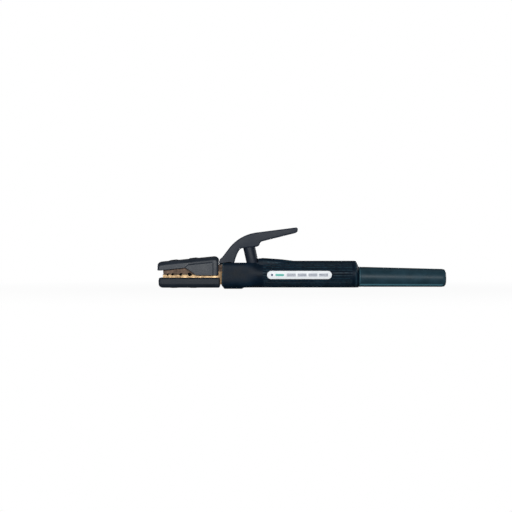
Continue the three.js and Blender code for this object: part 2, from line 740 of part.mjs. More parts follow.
add("lever_grip", leverGrip(), mouldedBlack);
add(
  "lever_screw",
  screw(SCREW_HEAD_RADIUS, SCREW_HEAD_HEIGHT, SCREW_RADIUS, LEVER_SCREW_LENGTH),
  steel,
  leverScrewPlace,
);

const cupTop = SLEEVE_LENGTH;
const cupBottom = cupTop - 1.4;
const postRadius = SPRING_RADIUS - SPRING_WIRE - 1.3 * GAP;
add("spring_sleeve", tube(SLEEVE_BORE, SLEEVE_RADIUS, 0, SLEEVE_LENGTH, 32), mouldedBlack, sleevePlace);
add(
  "spring_cup",
  turned([
    [0, cupBottom - 2.6],
    [postRadius - 0.4, cupBottom - 2.6],
    [postRadius, cupBottom - 2.2],
    [postRadius, cupBottom],
    [SLEEVE_BORE - GAP, cupBottom],
    [SLEEVE_BORE - GAP, cupTop],
    [0, cupTop],
  ]),
  steel,
  sleevePlace,
);

const stemLength = 5.5;
add(
  "spring_seat",
  turned([
    [0, seatHeight - seatThickness - stemLength],
    [2, seatHeight - seatThickness - stemLength],
    [2, seatHeight - seatThickness],
    [SLEEVE_RADIUS - 0.7, seatHeight - seatThickness],
    [SLEEVE_RADIUS - 0.7, seatHeight],
    [postRadius, seatHeight],
    [postRadius, seatHeight + 5.6],
    [postRadius - 0.4, seatHeight + 6],
    [0, seatHeight + 6],
  ]),
  steel,
  sleevePlace,
);

class Helix extends THREE.Curve {
  constructor(radius, turns, start, end) {
    super();
    Object.assign(this, { radius, turns, start, end });
  }
  getPoint(t, point = new THREE.Vector3()) {
    const turn = 2 * Math.PI * this.turns * t;
    return point.set(
      this.radius * Math.cos(turn),
      this.radius * Math.sin(turn),
      THREE.MathUtils.lerp(this.start, this.end, t),
    );
  }
}

function spring() {
  const coil = new Helix(
    SPRING_RADIUS,
    SPRING_TURNS,
    seatHeight + GAP + SPRING_WIRE,
    cupBottom - GAP - SPRING_WIRE,
  );
  coil.arcLengthDivisions = SPRING_TURNS * 40;
  const section = new THREE.Shape().absarc(0, 0, SPRING_WIRE, 0, 2 * Math.PI);
  return solid(
    new THREE.ExtrudeGeometry(section, {
      steps: SPRING_TURNS * 9,
      curveSegments: 3,
      extrudePath: coil,
    }),
  );
}

add("return_spring", spring(), steel, sleevePlace);

// ---------------------------------------------------------------- handle

// A round bar along X with fine grooves along it.
function ribbedBar(x0, x1) {
  const shape = new THREE.Shape();
  const turnOfRib = (2 * Math.PI) / RIB_COUNT;
  for (let rib = 0; rib < RIB_COUNT; rib++) {
    for (const [share, depth] of [[0.12, 0], [0.5, 0], [0.88, 0], [1, RIB_DEPTH]]) {
      const turn = (rib + share) * turnOfRib;
      const spot = [(HANDLE_RADIUS - depth) * Math.cos(turn), (HANDLE_RADIUS - depth) * Math.sin(turn)];
      if (rib === 0 && share === 0.12) shape.moveTo(...spot);
      else shape.lineTo(...spot);
    }
  }
  shape.closePath();
  const geometry = new THREE.ExtrudeGeometry(shape, { depth: x1 - x0, bevelEnabled: false });
  geometry.rotateY(Math.PI / 2);
  geometry.translate(x0, 0, 0);
  return solid(geometry);
}

function handle() {
  const halfWidth = HANDLE_RADIUS - 0.1;
  const padStart = 2.2;
  const frontAt = (z) => (-FRONT_LEAN * (HANDLE_RADIUS - z)) / (2 * HANDLE_RADIUS);
  const chin = padBottom + PAD_CHAMFER;
  const slant = padStart - frontAt(chin);
  const chamferEnd = frontAt(chin) + (slant * (PAD_CHAMFER - PAD_DROP)) / PAD_CHAMFER;
  const gripStart = slotEnd + 2;
  const collarRing = (x, lift = 0) =>
    boxRing(x, halfWidth, lift - HANDLE_RADIUS, HANDLE_RADIUS, COLLAR_CORNER);
  const collar = wrapped(
    collarRing(0, PAD_CHAMFER - PAD_DROP).map((spot) => spot.setX(frontAt(spot.z))),
    collarRing(chamferEnd),
    collarRing(COLLAR_LENGTH),
  );
  const shoulder = wrapped(collarRing(COLLAR_LENGTH), roundRing(gripStart, HANDLE_RADIUS));
  const pad = middleSlab(
    outline([
      [frontAt(chin), chin],
      [padStart, padBottom],
      [PAD_LENGTH, padBottom],
      [PAD_LENGTH + 3, -HANDLE_RADIUS],
      [PAD_LENGTH + 3, padBottom + PAD_CHAMFER],
    ]),
    2 * (halfWidth - COLLAR_CORNER) + 3,
  );
  const thumbRing = (x, width, top, corner) =>
    boxRing(x, width / 2, 0, HANDLE_RADIUS + top, corner);
  const thumb = wrapped(
    thumbRing(slotEnd - 4, THUMB_WIDTH - 0.6, THUMB_RISE - 0.7, 3.4),
    thumbRing(slotEnd - 2.8, THUMB_WIDTH, THUMB_RISE - 0.2, 4),
    thumbRing(slotEnd + 2, THUMB_WIDTH, THUMB_RISE, 5),
    thumbRing(slotEnd + 2 + THUMB_RUN / 2, THUMB_WIDTH * 0.8, THUMB_RISE / 2 + 0.2, 7),
    thumbRing(slotEnd + 2 + THUMB_RUN, THUMB_WIDTH * 0.5, -0.4, 4),
  );
  const end = HANDLE_LENGTH - END_TAPER;
  const grip = ribbedBar(gripStart - 1, end - SMOOTH_END + 0.5);
  const rear = wrapped(
    roundRing(end - SMOOTH_END, HANDLE_RADIUS),
    roundRing(end, HANDLE_RADIUS),
    roundRing(HANDLE_LENGTH, BOOT_FRONT_RADIUS + 0.5, cableZ),
  );

  const collarSpace = wrapped(
    boxRing(-3, collarInner, collarFloor, HANDLE_RADIUS + 10, 3),
    boxRing(COLLAR_LENGTH, collarInner, collarFloor, HANDLE_RADIUS + 10, 3),
  );
  const bore = level(gripBore, COLLAR_LENGTH - 1, neckStart, 0, 40);
  const neckBore = level(BOOT_NECK_RADIUS + GAP, neckStart - 1, HANDLE_LENGTH + 1, cableZ, 40);
  const beadBore = BOOT_NECK_RADIUS + BOOT_BEAD + GAP;
  const beadSpace = level(beadBore, neckStart - beadRoom, neckStart, cableZ, 40);
  const label = slab(labelOutline(GAP), -HANDLE_RADIUS - 5, -labelSeat);
  return cut(
    joined(collar, shoulder, pad, thumb, grip, rear),
    block(-3, slotEnd - 4, -20, 20, collarTop, 40),
    collarSpace,
    block(COLLAR_LENGTH - 1, slotEnd, -slotHalfWidth, slotHalfWidth, 0, 40),
    bore,
    beadSpace,
    neckBore,
    label,
    upright(HANDLE_SCREW_RADIUS + GAP, handleScrewX, padBottom - 1, collarFloor + 1),
    upright(HANDLE_SCREW_HEAD + GAP, handleScrewX, padBottom - 1, handleScrewSeat + GAP),
  );
}

const labelSeat = Math.sqrt(HANDLE_RADIUS ** 2 - (LABEL_HEIGHT / 2 + LABEL_DROP + GAP) ** 2) - 0.1;

// The label's outline with half-round ends, grown by a clearance.
function labelOutline(grown) {
  const end = LABEL_HEIGHT / 2;
  const radius = end + grown;
  const shape = new THREE.Shape();
  shape.absarc(LABEL_START + LABEL_LENGTH - end, -LABEL_DROP, radius, -Math.PI / 2, Math.PI / 2);
  shape.absarc(LABEL_START + end, -LABEL_DROP, radius, Math.PI / 2, 1.5 * Math.PI);
  shape.closePath();
  return shape;
}

add("handle", handle(), gripBlack);
add(
  "label_plate",
  slab(labelOutline(0), -labelSeat - GAP - LABEL_THICKNESS, -labelSeat - GAP),
  labelWhite,
);
add(
  "handle_screw",
  screw(HANDLE_SCREW_HEAD, SCREW_HEAD_HEIGHT, HANDLE_SCREW_RADIUS, handleScrewTip - handleScrewSeat),
  steel,
  leaning(handleScrewX, handleScrewSeat, 180),
);

// ---------------------------------------------------------------- cable socket

// Pieces turned about the cable's axis: their own +Z points along the row's +X.
const cablePlace = leaning(socketStart, cableZ, 90);
const grubPlaces = [socketStart + 0.54 * socketLength, socketStart + 0.81 * socketLength];
const socketBoreStart = spigotStart + SPIGOT_LENGTH + 6.7;
const grubTip = cableZ + SOCKET_BORE + GAP / 3;
const plateRadius = SOCKET_BORE - GAP;
const plateStart = socketBoreStart - socketStart + 2 * GAP;

function socket() {
  const body = placed(
    turned([
      [0, 0],
      [SOCKET_RADIUS, 0],
      [SOCKET_RADIUS, socketLength - 1],
      [SOCKET_RADIUS - 1, socketLength],
      [0, socketLength],
    ], 32),
    cablePlace,
  );
  const boss = block(
    grubPlaces[0] - GRUB_RADIUS - 3,
    grubPlaces[1] + GRUB_RADIUS + 3,
    -GRUB_RADIUS - 2.2,
    GRUB_RADIUS + 2.2,
    cableZ,
    cableZ + SOCKET_RADIUS + 2.4,
  );
  const threads = grubPlaces.map((x) => bar(GRUB_RADIUS + GAP, [x, 0, cableZ], [x, 0, HANDLE_RADIUS]));
  return cut(
    joined(body, boss),
    level(SPIGOT_RADIUS + GAP, socketStart - 1, spigotStart + SPIGOT_LENGTH + GAP, cableZ),
    level(SOCKET_BORE, socketBoreStart, socketStart + socketLength + 1, cableZ),
    bar(2 + GAP, [crossPinX, -20, cableZ], [crossPinX, 20, cableZ]),
    ...threads,
  );
}

add("cable_socket", socket(), brass);
add(
  "socket_cross_pin",
  bar(2, [crossPinX, -SOCKET_RADIUS + 0.3, cableZ], [crossPinX, SOCKET_RADIUS - 0.3, cableZ], 20),
  steel,
);
add(
  "cable_pressure_plate",
  cut(
    placed(tube(plateRadius - 0.8, plateRadius, plateStart, socketLength - 3, 32), cablePlace),
    block(socketStart, bootEnd, -20, 20, padBottom, cableZ + plateRadius * 0.6),
  ),
  copper,
);

// A grub screw with a six-sided socket in its top.
function grubScrew() {
  const body = turned([
    [0, 0],
    [GRUB_RADIUS - 1, 0],
    [GRUB_RADIUS, 1],
    [GRUB_RADIUS, GRUB_LENGTH - 0.5],
    [GRUB_RADIUS - 0.5, GRUB_LENGTH],
    [0, GRUB_LENGTH],
  ]);
  return cut(body, bar(2.2, [0, 0, GRUB_LENGTH - 3.5], [0, 0, GRUB_LENGTH + 1], 6));
}

for (const [end, x] of [["front", grubPlaces[0]], ["rear", grubPlaces[1]]]) {
  add("socket_screw_" + end, grubScrew(), steel, leaning(x, grubTip, 0));
}

// ---------------------------------------------------------------- cable boot

function boot() {
  const axisZ = (x) => cableZ + ((bootRearZ - cableZ) * (x - bootStart)) / BOOT_LENGTH;
  const radiusAt = (x) => BOOT_FRONT_RADIUS + axisZ(x) - cableZ;
  const ring = (x, radius) => roundRing(x, radius, x < bootStart ? cableZ : axisZ(x), 40);
  const tail = wrapped(
    ring(bootStart, BOOT_FRONT_RADIUS),
    ring(bootEnd - 4, radiusAt(bootEnd - 4)),
    ring(bootEnd - 2.4, BOOT_REAR_RADIUS - 0.5),
    ring(bootEnd - 1, BOOT_REAR_RADIUS - 1.5),
    ring(bootEnd, BOOT_REAR_RADIUS - 3),
  );
  const beadEnd = neckStart - GAP;
  const bead = wrapped(
    ring(beadEnd, BOOT_NECK_RADIUS),
    ring(beadEnd, BOOT_NECK_RADIUS + BOOT_BEAD),
    ring(beadEnd - 1.2, BOOT_NECK_RADIUS + BOOT_BEAD),
    ring(beadEnd - 3, BOOT_NECK_RADIUS),
  );
  const neck = level(BOOT_NECK_RADIUS, beadEnd - 3, bootStart + 1, cableZ, 40);
  const hole = wrapped(
    ring(bootStart, CABLE_BORE),
    ring(bootEnd - 6, CABLE_BORE),
    ring(bootEnd - 3, BOOT_LIP),
  );
  const lipHole = wrapped(ring(bootEnd - 4, BOOT_LIP), ring(bootEnd + 1, BOOT_LIP));
  const neckHole = level(CABLE_BORE, beadEnd - 4, bootStart + 1, cableZ, 40);
  return cut(joined(tail, neck, bead), hole, lipHole, neckHole);
}

add("cable_boot", boot(), bootBlack);

holder.position.set(-(noseX + bootEnd) / 2, 0, -padBottom);
export default holder;
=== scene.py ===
# %% [markdown]
# # A lever-type electrode holder for arc welding
#
# The holder grips a welding rod between two metal jaws. Squeezing the lever lifts the upper jaw, and a
# coil spring in the sleeve closes it again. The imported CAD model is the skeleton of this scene: it gives
# every place and every joint. The cells below dress it, piece by piece, in smooth surfaces and in
# finishes that have the grain, the rubbed edges and the dust of the real thing.

import json
from math import radians, tan

import bmesh
import bpy
import numpy as np
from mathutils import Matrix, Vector


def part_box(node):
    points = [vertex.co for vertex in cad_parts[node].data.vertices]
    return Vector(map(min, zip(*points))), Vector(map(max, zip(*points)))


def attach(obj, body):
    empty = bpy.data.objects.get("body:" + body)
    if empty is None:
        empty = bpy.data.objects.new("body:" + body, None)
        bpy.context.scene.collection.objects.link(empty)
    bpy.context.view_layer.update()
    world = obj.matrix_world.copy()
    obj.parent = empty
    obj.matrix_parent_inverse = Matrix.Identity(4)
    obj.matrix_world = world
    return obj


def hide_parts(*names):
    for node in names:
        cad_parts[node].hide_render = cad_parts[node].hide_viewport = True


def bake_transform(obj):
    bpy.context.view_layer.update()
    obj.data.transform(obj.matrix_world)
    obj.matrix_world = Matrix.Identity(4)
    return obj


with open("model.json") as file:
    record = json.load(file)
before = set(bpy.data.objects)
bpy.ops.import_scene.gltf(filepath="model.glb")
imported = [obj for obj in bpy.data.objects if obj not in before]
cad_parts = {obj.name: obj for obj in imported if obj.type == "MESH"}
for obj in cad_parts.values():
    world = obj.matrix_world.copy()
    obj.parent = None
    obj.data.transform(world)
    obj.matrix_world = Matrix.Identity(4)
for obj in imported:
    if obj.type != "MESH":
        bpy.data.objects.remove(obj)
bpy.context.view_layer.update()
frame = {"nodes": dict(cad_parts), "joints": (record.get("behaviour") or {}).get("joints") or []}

# %% [markdown]
# ## The bench frame
#
# A maker would measure this tool from the handle's front face and from the middle line of the grip, so
# the shapes below are written that way, in millimetres. The pivot of the lever is the one point that the
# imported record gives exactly, and it lies 7 mm behind that face and 5 mm over that line. Adding PLACE to
# a point of the bench frame gives its place in the row frame.

# %% Bench frame
MM = 0.001
HOLDER, LEVER = "holder_body", "lever"
PIVOT = np.array([7.0, 0.0, 5.0])
hinge = next(joint for joint in frame["joints"] if joint["type"] == "hinge")
PLACE = np.array(hinge["pos_m"]) / MM - PIVOT


def bench_box(node):
    """The lowest and highest corners of a CAD node, in the bench frame, in millimetres."""
    low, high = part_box(node)
    return np.array(low) / MM - PLACE, np.array(high) / MM - PLACE


print("bench frame at", PLACE.round(2), "mm; handle", [c.round(1) for c in bench_box("handle")])

# %% [markdown]
# ## Helpers for surfaces
#
# Every new piece is a grid of points: rings that follow one another along a path, or a profile that turns
# about an axis. The whole grid is worked out as one array, so a shape is a formula that can be read, and
# its faces follow from the counting of the grid alone.

# %% Faces of a grid
def grid_faces(rows, columns, round_rows=False):
    """Four-cornered faces between neighbouring points. Each row closes on itself, and if round_rows is
    true the last row also joins the first, as on a tube that is bent into a ring."""
    row, column = np.meshgrid(np.arange(rows - (not round_rows)), np.arange(columns), indexing="ij")
    next_row, next_column = (row + 1) % rows, (column + 1) % columns
    corners = [(row, column), (row, next_column), (next_row, next_column), (next_row, column)]
    return np.stack([r * columns + c for r, c in corners], -1).reshape(-1, 4)


def shown(name, data):
    """An object that puts a mesh, lamp or camera into the scene."""
    made = bpy.data.objects.new(name, data)
    bpy.context.scene.collection.objects.link(made)
    return made


def object_of(name, points, faces, attributes=None):
    """An object whose mesh has these points, given in the bench frame. Its faces are turned outwards."""
    mesh = bpy.data.meshes.new(name)
    mesh.from_pydata(((points.reshape(-1, 3) + PLACE) * MM).tolist(), [], faces)
    for key, values in (attributes or {}).items():
        spread = np.broadcast_to(values, points.shape[:-1]).astype(np.float32)
        mesh.attributes.new(key, "FLOAT", "POINT").data.foreach_set("value", spread.ravel())
    solid = bmesh.new()
    solid.from_mesh(mesh)
    bmesh.ops.remove_doubles(solid, verts=solid.verts, dist=1e-8)
    if solid.calc_volume(signed=True) < 0:
        bmesh.ops.reverse_faces(solid, faces=solid.faces)
    solid.to_mesh(mesh)
    solid.free()
    return shown(name, mesh)


def loft(name, rings, attributes=None):
    """A closed skin over rings of points, shape (rings, points, 3), with a flat face on each end."""
    rows, columns = rings.shape[:2]
    ends = [list(range(columns))[::-1], list(range((rows - 1) * columns, rows * columns))]
    return object_of(name, rings, grid_faces(rows, columns).tolist() + ends, attributes)


def ring_tube(name, rings, attributes=None):
    """A closed skin over rings of points whose last ring joins the first."""
    rows, columns = rings.shape[:2]
    return object_of(name, rings, grid_faces(rows, columns, True).tolist(), attributes)


# %% [markdown]
# Lines need rounded corners as much as solids do. Each corner of a profile has its own rounding: the
# corner is replaced by a parabola that leaves one side and joins the other that far from the corner.
# All the parabolas are one array expression.

# %% Lines
def smooth(share):
    """0 below 0, 1 above 1, and 3 s^2 - 2 s^3 between."""
    share = np.clip(share, 0, 1)
    return share * share * (3 - 2 * share)


def rounded(corners, steps=7):
    """A closed line through corners (u, v, rounding). Near a corner P it follows
    (1 - t)^2 A + 2 t (1 - t) P + t^2 B, where A and B lie the rounding away from P on its two sides."""
    corners = np.array([(*c, 0.0)[:3] for c in corners], float)
    spot, reach = corners[:, :2], corners[:, 2:]
    before, after = np.roll(spot, 1, 0) - spot, np.roll(spot, -1, 0) - spot
    start = spot + before / np.linalg.norm(before, axis=1, keepdims=True) * reach
    end = spot + after / np.linalg.norm(after, axis=1, keepdims=True) * reach
    t = np.linspace(0, 1, steps)[None, :, None]
    line = (1 - t) ** 2 * start[:, None] + 2 * t * (1 - t) * spot[:, None] + t**2 * end[:, None]
    line = line.reshape(-1, 2)
    return line[np.linalg.norm(line - np.roll(line, 1, 0), axis=1) > 1e-6]


def bend(start, control, end, steps=14):
    """A parabola from start to end, drawn towards control."""
    t = np.linspace(0, 1, steps)[:, None]
    return (1 - t) ** 2 * np.array(start) + 2 * t * (1 - t) * np.array(control) + t**2 * np.array(end)


def arc(centre, radius, start, end, steps=40):
    """Part of a circle, from one angle to another in degrees."""
    turn = np.radians(np.linspace(start, end, steps))
    return np.array(centre) + radius * np.stack([np.cos(turn), np.sin(turn)], -1)


def evenly(line, spacing):
    """A closed line with its points spread evenly along its length."""
    loop = np.vstack([line, line[:1]])
    travelled = np.concatenate([[0], np.cumsum(np.linalg.norm(np.diff(loop, axis=0), axis=1))])
    along = np.linspace(0, travelled[-1], int(travelled[-1] / spacing), endpoint=False)
    return np.stack([np.interp(along, travelled, loop[:, k]) for k in (0, 1)], -1)


# %% [markdown]
# Two more ways of making a skin cover most of the tool. Mouldings such as the lever are an outline seen
# from the side, carried across the tool's width, with both long edges rounded over. Round pieces are a
# profile turned about an axis that may lean.

# %% Mouldings and turned pieces
def moulding(name, outline, left, right, edge, steps=6):
    """An outline in x and z carried from y = left to y = right. Near each side the outline shrinks along
    its own normal by edge (1 - sin a) while y moves in by edge (1 - cos a), a quarter circle."""
    way = np.roll(outline, -1, 0) - np.roll(outline, 1, 0)
    normal = np.stack([way[:, 1], -way[:, 0]], -1) / np.linalg.norm(way, axis=1, keepdims=True)
    x, z = outline.T
    turning = np.sign(np.sum(x * np.roll(z, -1) - np.roll(x, -1) * z))
    a = np.linspace(0, np.pi / 2, steps)
    both_sides = np.concatenate([a, a[::-1]])
    inset = edge * (1 - np.sin(both_sides))
    y = np.concatenate([left + edge * (1 - np.cos(a)), right - edge * (1 - np.cos(a[::-1]))])
    line = outline[None] - turning * normal[None] * inset[:, None, None]
    rings = np.stack([line[..., 0], np.broadcast_to(y[:, None], line.shape[:2]), line[..., 1]], -1)
    return loft(name, rings, {"rub": np.sin(2 * both_sides)[:, None]})


def turned(name, profile, foot, axis, sides=64, attributes=None, closed=True):
    """A closed profile of (radius, height) points turned about the axis through foot."""
    axis = np.array(axis, float) / np.linalg.norm(axis)
    across = np.cross(axis, [0.0, 1.0, 0.0]) if abs(axis[1]) < 0.9 else np.array([1.0, 0.0, 0.0])
    across /= np.linalg.norm(across)
    beside = np.cross(axis, across)
    turn = np.linspace(0, 2 * np.pi, sides, endpoint=False)[None, :, None]
    radius, height = profile[:, 0][:, None, None], profile[:, 1][:, None, None]
    rings = np.array(foot) + height * axis + radius * (np.cos(turn) * across + np.sin(turn) * beside)
    return (ring_tube if closed else loft)(name, rings, attributes)


# %% [markdown]
# Slots, bores and recesses are cut from a closed skin by a second closed skin. The Boolean modifier does
# that, and its result is put into the mesh at once, so that nothing in the scene depends on the cutters.

# %% Cutting and finishing
def block(x0, x1, y0, y1, z0, z1, corner=0.0):
    """A cutter: a box along x with its four long edges rounded."""
    section = rounded([(y0, z0, corner), (y1, z0, corner), (y1, z1, corner), (y0, z1, corner)])
    section = np.stack([np.zeros(len(section)), *section.T], -1)
    return loft("cutter", np.stack([section + [x, 0, 0] for x in (x0, x1)]))


def rod(radius, start, end, sides=48):
    """A cutter: a round bar between two points."""
    way = np.array(end, float) - start
    length = np.linalg.norm(way)
    return turned("cutter", np.array([[radius, 0.0], [radius, length]]), start, way, sides, closed=False)


def cut(piece, *cutters):
    """Takes the cutters away from the piece, one after the other."""
    for cutter in cutters:
        taken = piece.modifiers.new("cut", "BOOLEAN")
        taken.operation, taken.object, taken.solver = "DIFFERENCE", cutter, "MANIFOLD"
        evaluated = piece.evaluated_get(bpy.context.evaluated_depsgraph_get())
        mesh = bpy.data.meshes.new_from_object(evaluated)
        piece.modifiers.clear()
        piece.data, old = mesh, piece.data
        bpy.data.meshes.remove(old)
        bpy.data.objects.remove(cutter)
    return piece


def shaded(piece, angle=32):
    """Smooth shading, except at edges that turn by more than the angle in degrees."""
    piece.data.shade_smooth()
    piece.data.set_sharp_from_angle(angle=radians(angle))
    return piece


def dress(piece, material, body, slot, *nodes):
    """Gives a piece its finish and its body, and lets it stand for CAD nodes."""
    piece.data.materials.clear()
    piece.data.materials.append(material)
    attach(piece, body)
    if nodes:
        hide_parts(*nodes)
    print(f"{piece.name}: {len(piece.data.polygons)} faces, stands for {', '.join(nodes) or 'nothing'}")
    return piece


# %% [markdown]
# ## Effects that several finishes share
#
# Moulded plastic, rubber and cast metal each look like themselves because of small things: the grain of
# the mould, edges rubbed by gloves, dust that settles on what faces up. Each of these is a node group
# with named sockets. A group only hands out masks and heights, and the material decides what to do with
# them.

# %% Node helpers
def node(tree, kind, inputs=None, **settings):
    """Adds a node, sets its properties, and fills or links its inputs."""
    made = tree.nodes.new(kind)
    for key, value in settings.items():
        setattr(made, key, value)
    for key, value in (inputs or {}).items():
        if isinstance(value, bpy.types.NodeSocket):
            tree.links.new(value, made.inputs[key])
        else:
            made.inputs[key].default_value = value
    return made


def sums(tree, operation, first, second=0.0, third=0.0):
    """The output of a Math node."""
    inputs = {0: first, 1: second, 2: third}
    return node(tree, "ShaderNodeMath", inputs, operation=operation).outputs[0]


def times(tree, first, second):
    """The product of two values."""
    return sums(tree, "MULTIPLY", first, second)


def stretch(tree, value, low, high, to_low=0.0, to_high=1.0):
    """A value moved from one range to another and held inside it."""
    inputs = {"Value": value, "From Min": low, "From Max": high, "To Min": to_low, "To Max": to_high}
    return node(tree, "ShaderNodeMapRange", inputs, clamp=True).outputs["Result"]


def tint(tree, share, first, second):
    """Two colours mixed."""
    return node(tree, "ShaderNodeMix", {0: share, 6: first, 7: second}, data_type="RGBA").outputs[2]


def effect(name, inputs, outputs):
    """A new node group: (tree, the values that it is given, the sockets that it hands out)."""
    tree = bpy.data.node_groups.new(name, "ShaderNodeTree")
    for label, value in inputs.items():
        socket = tree.interface.new_socket(label, in_out="INPUT", socket_type="NodeSocketFloat")
        socket.default_value = value
    for label in outputs:
        tree.interface.new_socket(label, in_out="OUTPUT", socket_type="NodeSocketFloat")
    return tree, tree.nodes.new("NodeGroupInput").outputs, tree.nodes.new("NodeGroupOutput").inputs


def surface_point(tree):
    """The place on the surface in the row frame, in metres."""
    return node(tree, "ShaderNodeTexCoord").outputs["Object"]


def attribute(tree, name):
    """The value that the mesh carries under this name."""
    return node(tree, "ShaderNodeAttribute", attribute_name=name).outputs["Fac"]


def per_metre(tree, size_mm):
    """The scale at which a texture's features have a size in millimetres."""
    return sums(tree, "DIVIDE", 1000.0, size_mm)


def noise(tree, where, scale, detail=2.0, rough=0.5):
    """A Noise texture's value."""
    inputs = {"Vector": where, "Scale": scale, "Detail": detail, "Roughness": rough}
    return node(tree, "ShaderNodeTexNoise", inputs).outputs[0]


# %% [markdown]
# Mould grain is a fine pebble on the surface, with a slow cloudiness in the colour where the material
# flowed. Two noises of very different size do it.

# %% Mould grain
grain_group, given, handed = effect("mould_grain", {"Grain mm": 0.5, "Cloud mm": 14.0}, ("Height", "Cloud"))
where = surface_point(grain_group)
fine = noise(grain_group, where, per_metre(grain_group, given["Grain mm"]), 3.0, 0.6)
slow = noise(grain_group, where, per_metre(grain_group, given["Cloud mm"]), 4.0, 0.62)
grain_group.links.new(fine, handed["Height"])
grain_group.links.new(stretch(grain_group, slow, 0.34, 0.68), handed["Cloud"])

# %% [markdown]
# Edges are rubbed where hands and benches touch them. The surfaces above carry a "rub" attribute that is
# highest on their rounded edges. Broken up by noise, it tells where the skin is polished and a little
# paler. Fine scratches run along the tool: a noise squeezed in one direction gives them.

# %% Rubbed edges and scratches
wear_group, given, handed = effect("handling_wear", {"Rub": 1.0, "Scratches": 1.0}, ("Rubbed", "Scratched"))
where = surface_point(wear_group)
broken = stretch(wear_group, noise(wear_group, where, 420.0, 5.0, 0.7), 0.4, 0.62)
rubbed = times(wear_group, attribute(wear_group, "rub"), broken)
along = node(wear_group, "ShaderNodeMapping", {"Vector": where, "Scale": (55.0, 1500.0, 1500.0)}).outputs[0]
lines = stretch(wear_group, noise(wear_group, along, 1.0, 3.0, 0.65), 0.63, 0.7)
patch = stretch(wear_group, noise(wear_group, where, 60.0, 2.0), 0.45, 0.62)
scratched = times(wear_group, lines, patch)
wear_group.links.new(times(wear_group, rubbed, given["Rub"]), handed["Rubbed"])
wear_group.links.new(times(wear_group, scratched, given["Scratches"]), handed["Scratched"])

# %% [markdown]
# Dust lies on what faces up. The surface's own normal gives that, and a noise thins the dust out. The
# normal is the object's, so the dust turns with a piece that moves.

# %% Settled dust
dust_group, given, handed = effect("settled_dust", {"Amount": 0.3}, ("Dust",))
coords = node(dust_group, "ShaderNodeTexCoord")
up = node(dust_group, "ShaderNodeSeparateXYZ", {0: coords.outputs["Normal"]}).outputs["Z"]
facing = stretch(dust_group, up, 0.35, 1.0)
specks = stretch(dust_group, noise(dust_group, coords.outputs["Object"], 900.0, 4.0, 0.7), 0.42, 0.75)
dust = times(dust_group, facing, specks)
dust_group.links.new(times(dust_group, dust, given["Amount"]), handed["Dust"])

# %% [markdown]
# Cast metal keeps the skin of its sand mould: shallow pits over a lumpy surface, and tarnish that
# gathers in patches. Turned and drawn metal has fine rings and lines instead.

# %% Cast skin and tool marks
cast_group, given, handed = effect("cast_skin", {"Pit mm": 0.8, "Patch mm": 7.0}, ("Height", "Tarnish"))
where = surface_point(cast_group)
lumps = noise(cast_group, where, per_metre(cast_group, given["Pit mm"]), 4.0, 0.65)
cells = node(cast_group, "ShaderNodeTexVoronoi", {"Vector": where, "Scale": 900.0}).outputs["Distance"]
pits = stretch(cast_group, cells, 0.0, 0.35)
patches = noise(cast_group, where, per_metre(cast_group, given["Patch mm"]), 6.0, 0.68)
cast_group.links.new(sums(cast_group, "MULTIPLY_ADD", pits, 0.35, lumps), handed["Height"])
cast_group.links.new(stretch(cast_group, patches, 0.38, 0.66), handed["Tarnish"])

marks_group, given, handed = effect("tool_marks", {"Pitch mm": 0.25}, ("Height", "Dull"))
where = surface_point(marks_group)
drawn = node(marks_group, "ShaderNodeMapping", {"Vector": where, "Scale": (1.0, 1.0, 0.08)}).outputs[0]
lines = noise(marks_group, drawn, per_metre(marks_group, given["Pitch mm"]), 2.0, 0.5)
dull = stretch(marks_group, noise(marks_group, where, 260.0, 4.0), 0.4, 0.7)
marks_group.links.new(lines, handed["Height"])
marks_group.links.new(dull, handed["Dull"])
print("effects:", [g.name for g in bpy.data.node_groups])

# %% [markdown]
# ## Finishes
#
# All the black pieces are moulded, but no two of them are the same black: the covers are a grey,
# glass-filled plastic, duller on the lower one, the lever is slate, the handle is a blue-black and the
# cable boot is a glossier green-black rubber. One function makes them all, each with its own values.

# %% Moulded finishes
# The middle colour is the black of the painted shade on the jaws.
DUST, SHADE_BLACK, SCUFF = "8d8f90", "120e0b", "9aa0a8"


def colour(code):
    """A linear colour from a six-digit sRGB code."""
    channels = np.array([int(code[k : k + 2], 16) for k in (0, 2, 4)]) / 255
    linear = np.where(channels <= 0.04045, channels / 12.92, ((channels + 0.055) / 1.055) ** 2.4)
    return (*linear.tolist(), 1.0)


def new_material(name):
    """A material with an empty tree: (material, tree, its shader)."""
    made = bpy.data.materials.new(name)
    made.use_nodes = True
    tree = made.node_tree
    tree.nodes.clear()
    shader = tree.nodes.new("ShaderNodeBsdfPrincipled")
    out = tree.nodes.new("ShaderNodeOutputMaterial")
    tree.links.new(shader.outputs[0], out.inputs["Surface"])
    return made, tree, shader


def use(tree, group, **values):
    """Places an effect in a material. Values are named as its sockets, with _ for a space."""
    made = node(tree, "ShaderNodeGroup", node_tree=group)
    for label, value in values.items():
        made.inputs[label.replace("_", " ")].default_value = value
    return made.outputs


def feed(shader, **values):
    """Links values to the shader's sockets, named as the sockets are, with _ for a space."""
    for label, value in values.items():
        shader.id_data.links.new(value, shader.inputs[label.replace("_", " ")])


def bump(tree, height, strength, distance_mm):
    """A normal from a height. The distance is how far a height of 1 stands out."""
    inputs = {"Height": height, "Strength": strength, "Distance": distance_mm * MM}
    return node(tree, "ShaderNodeBump", inputs).outputs["Normal"]


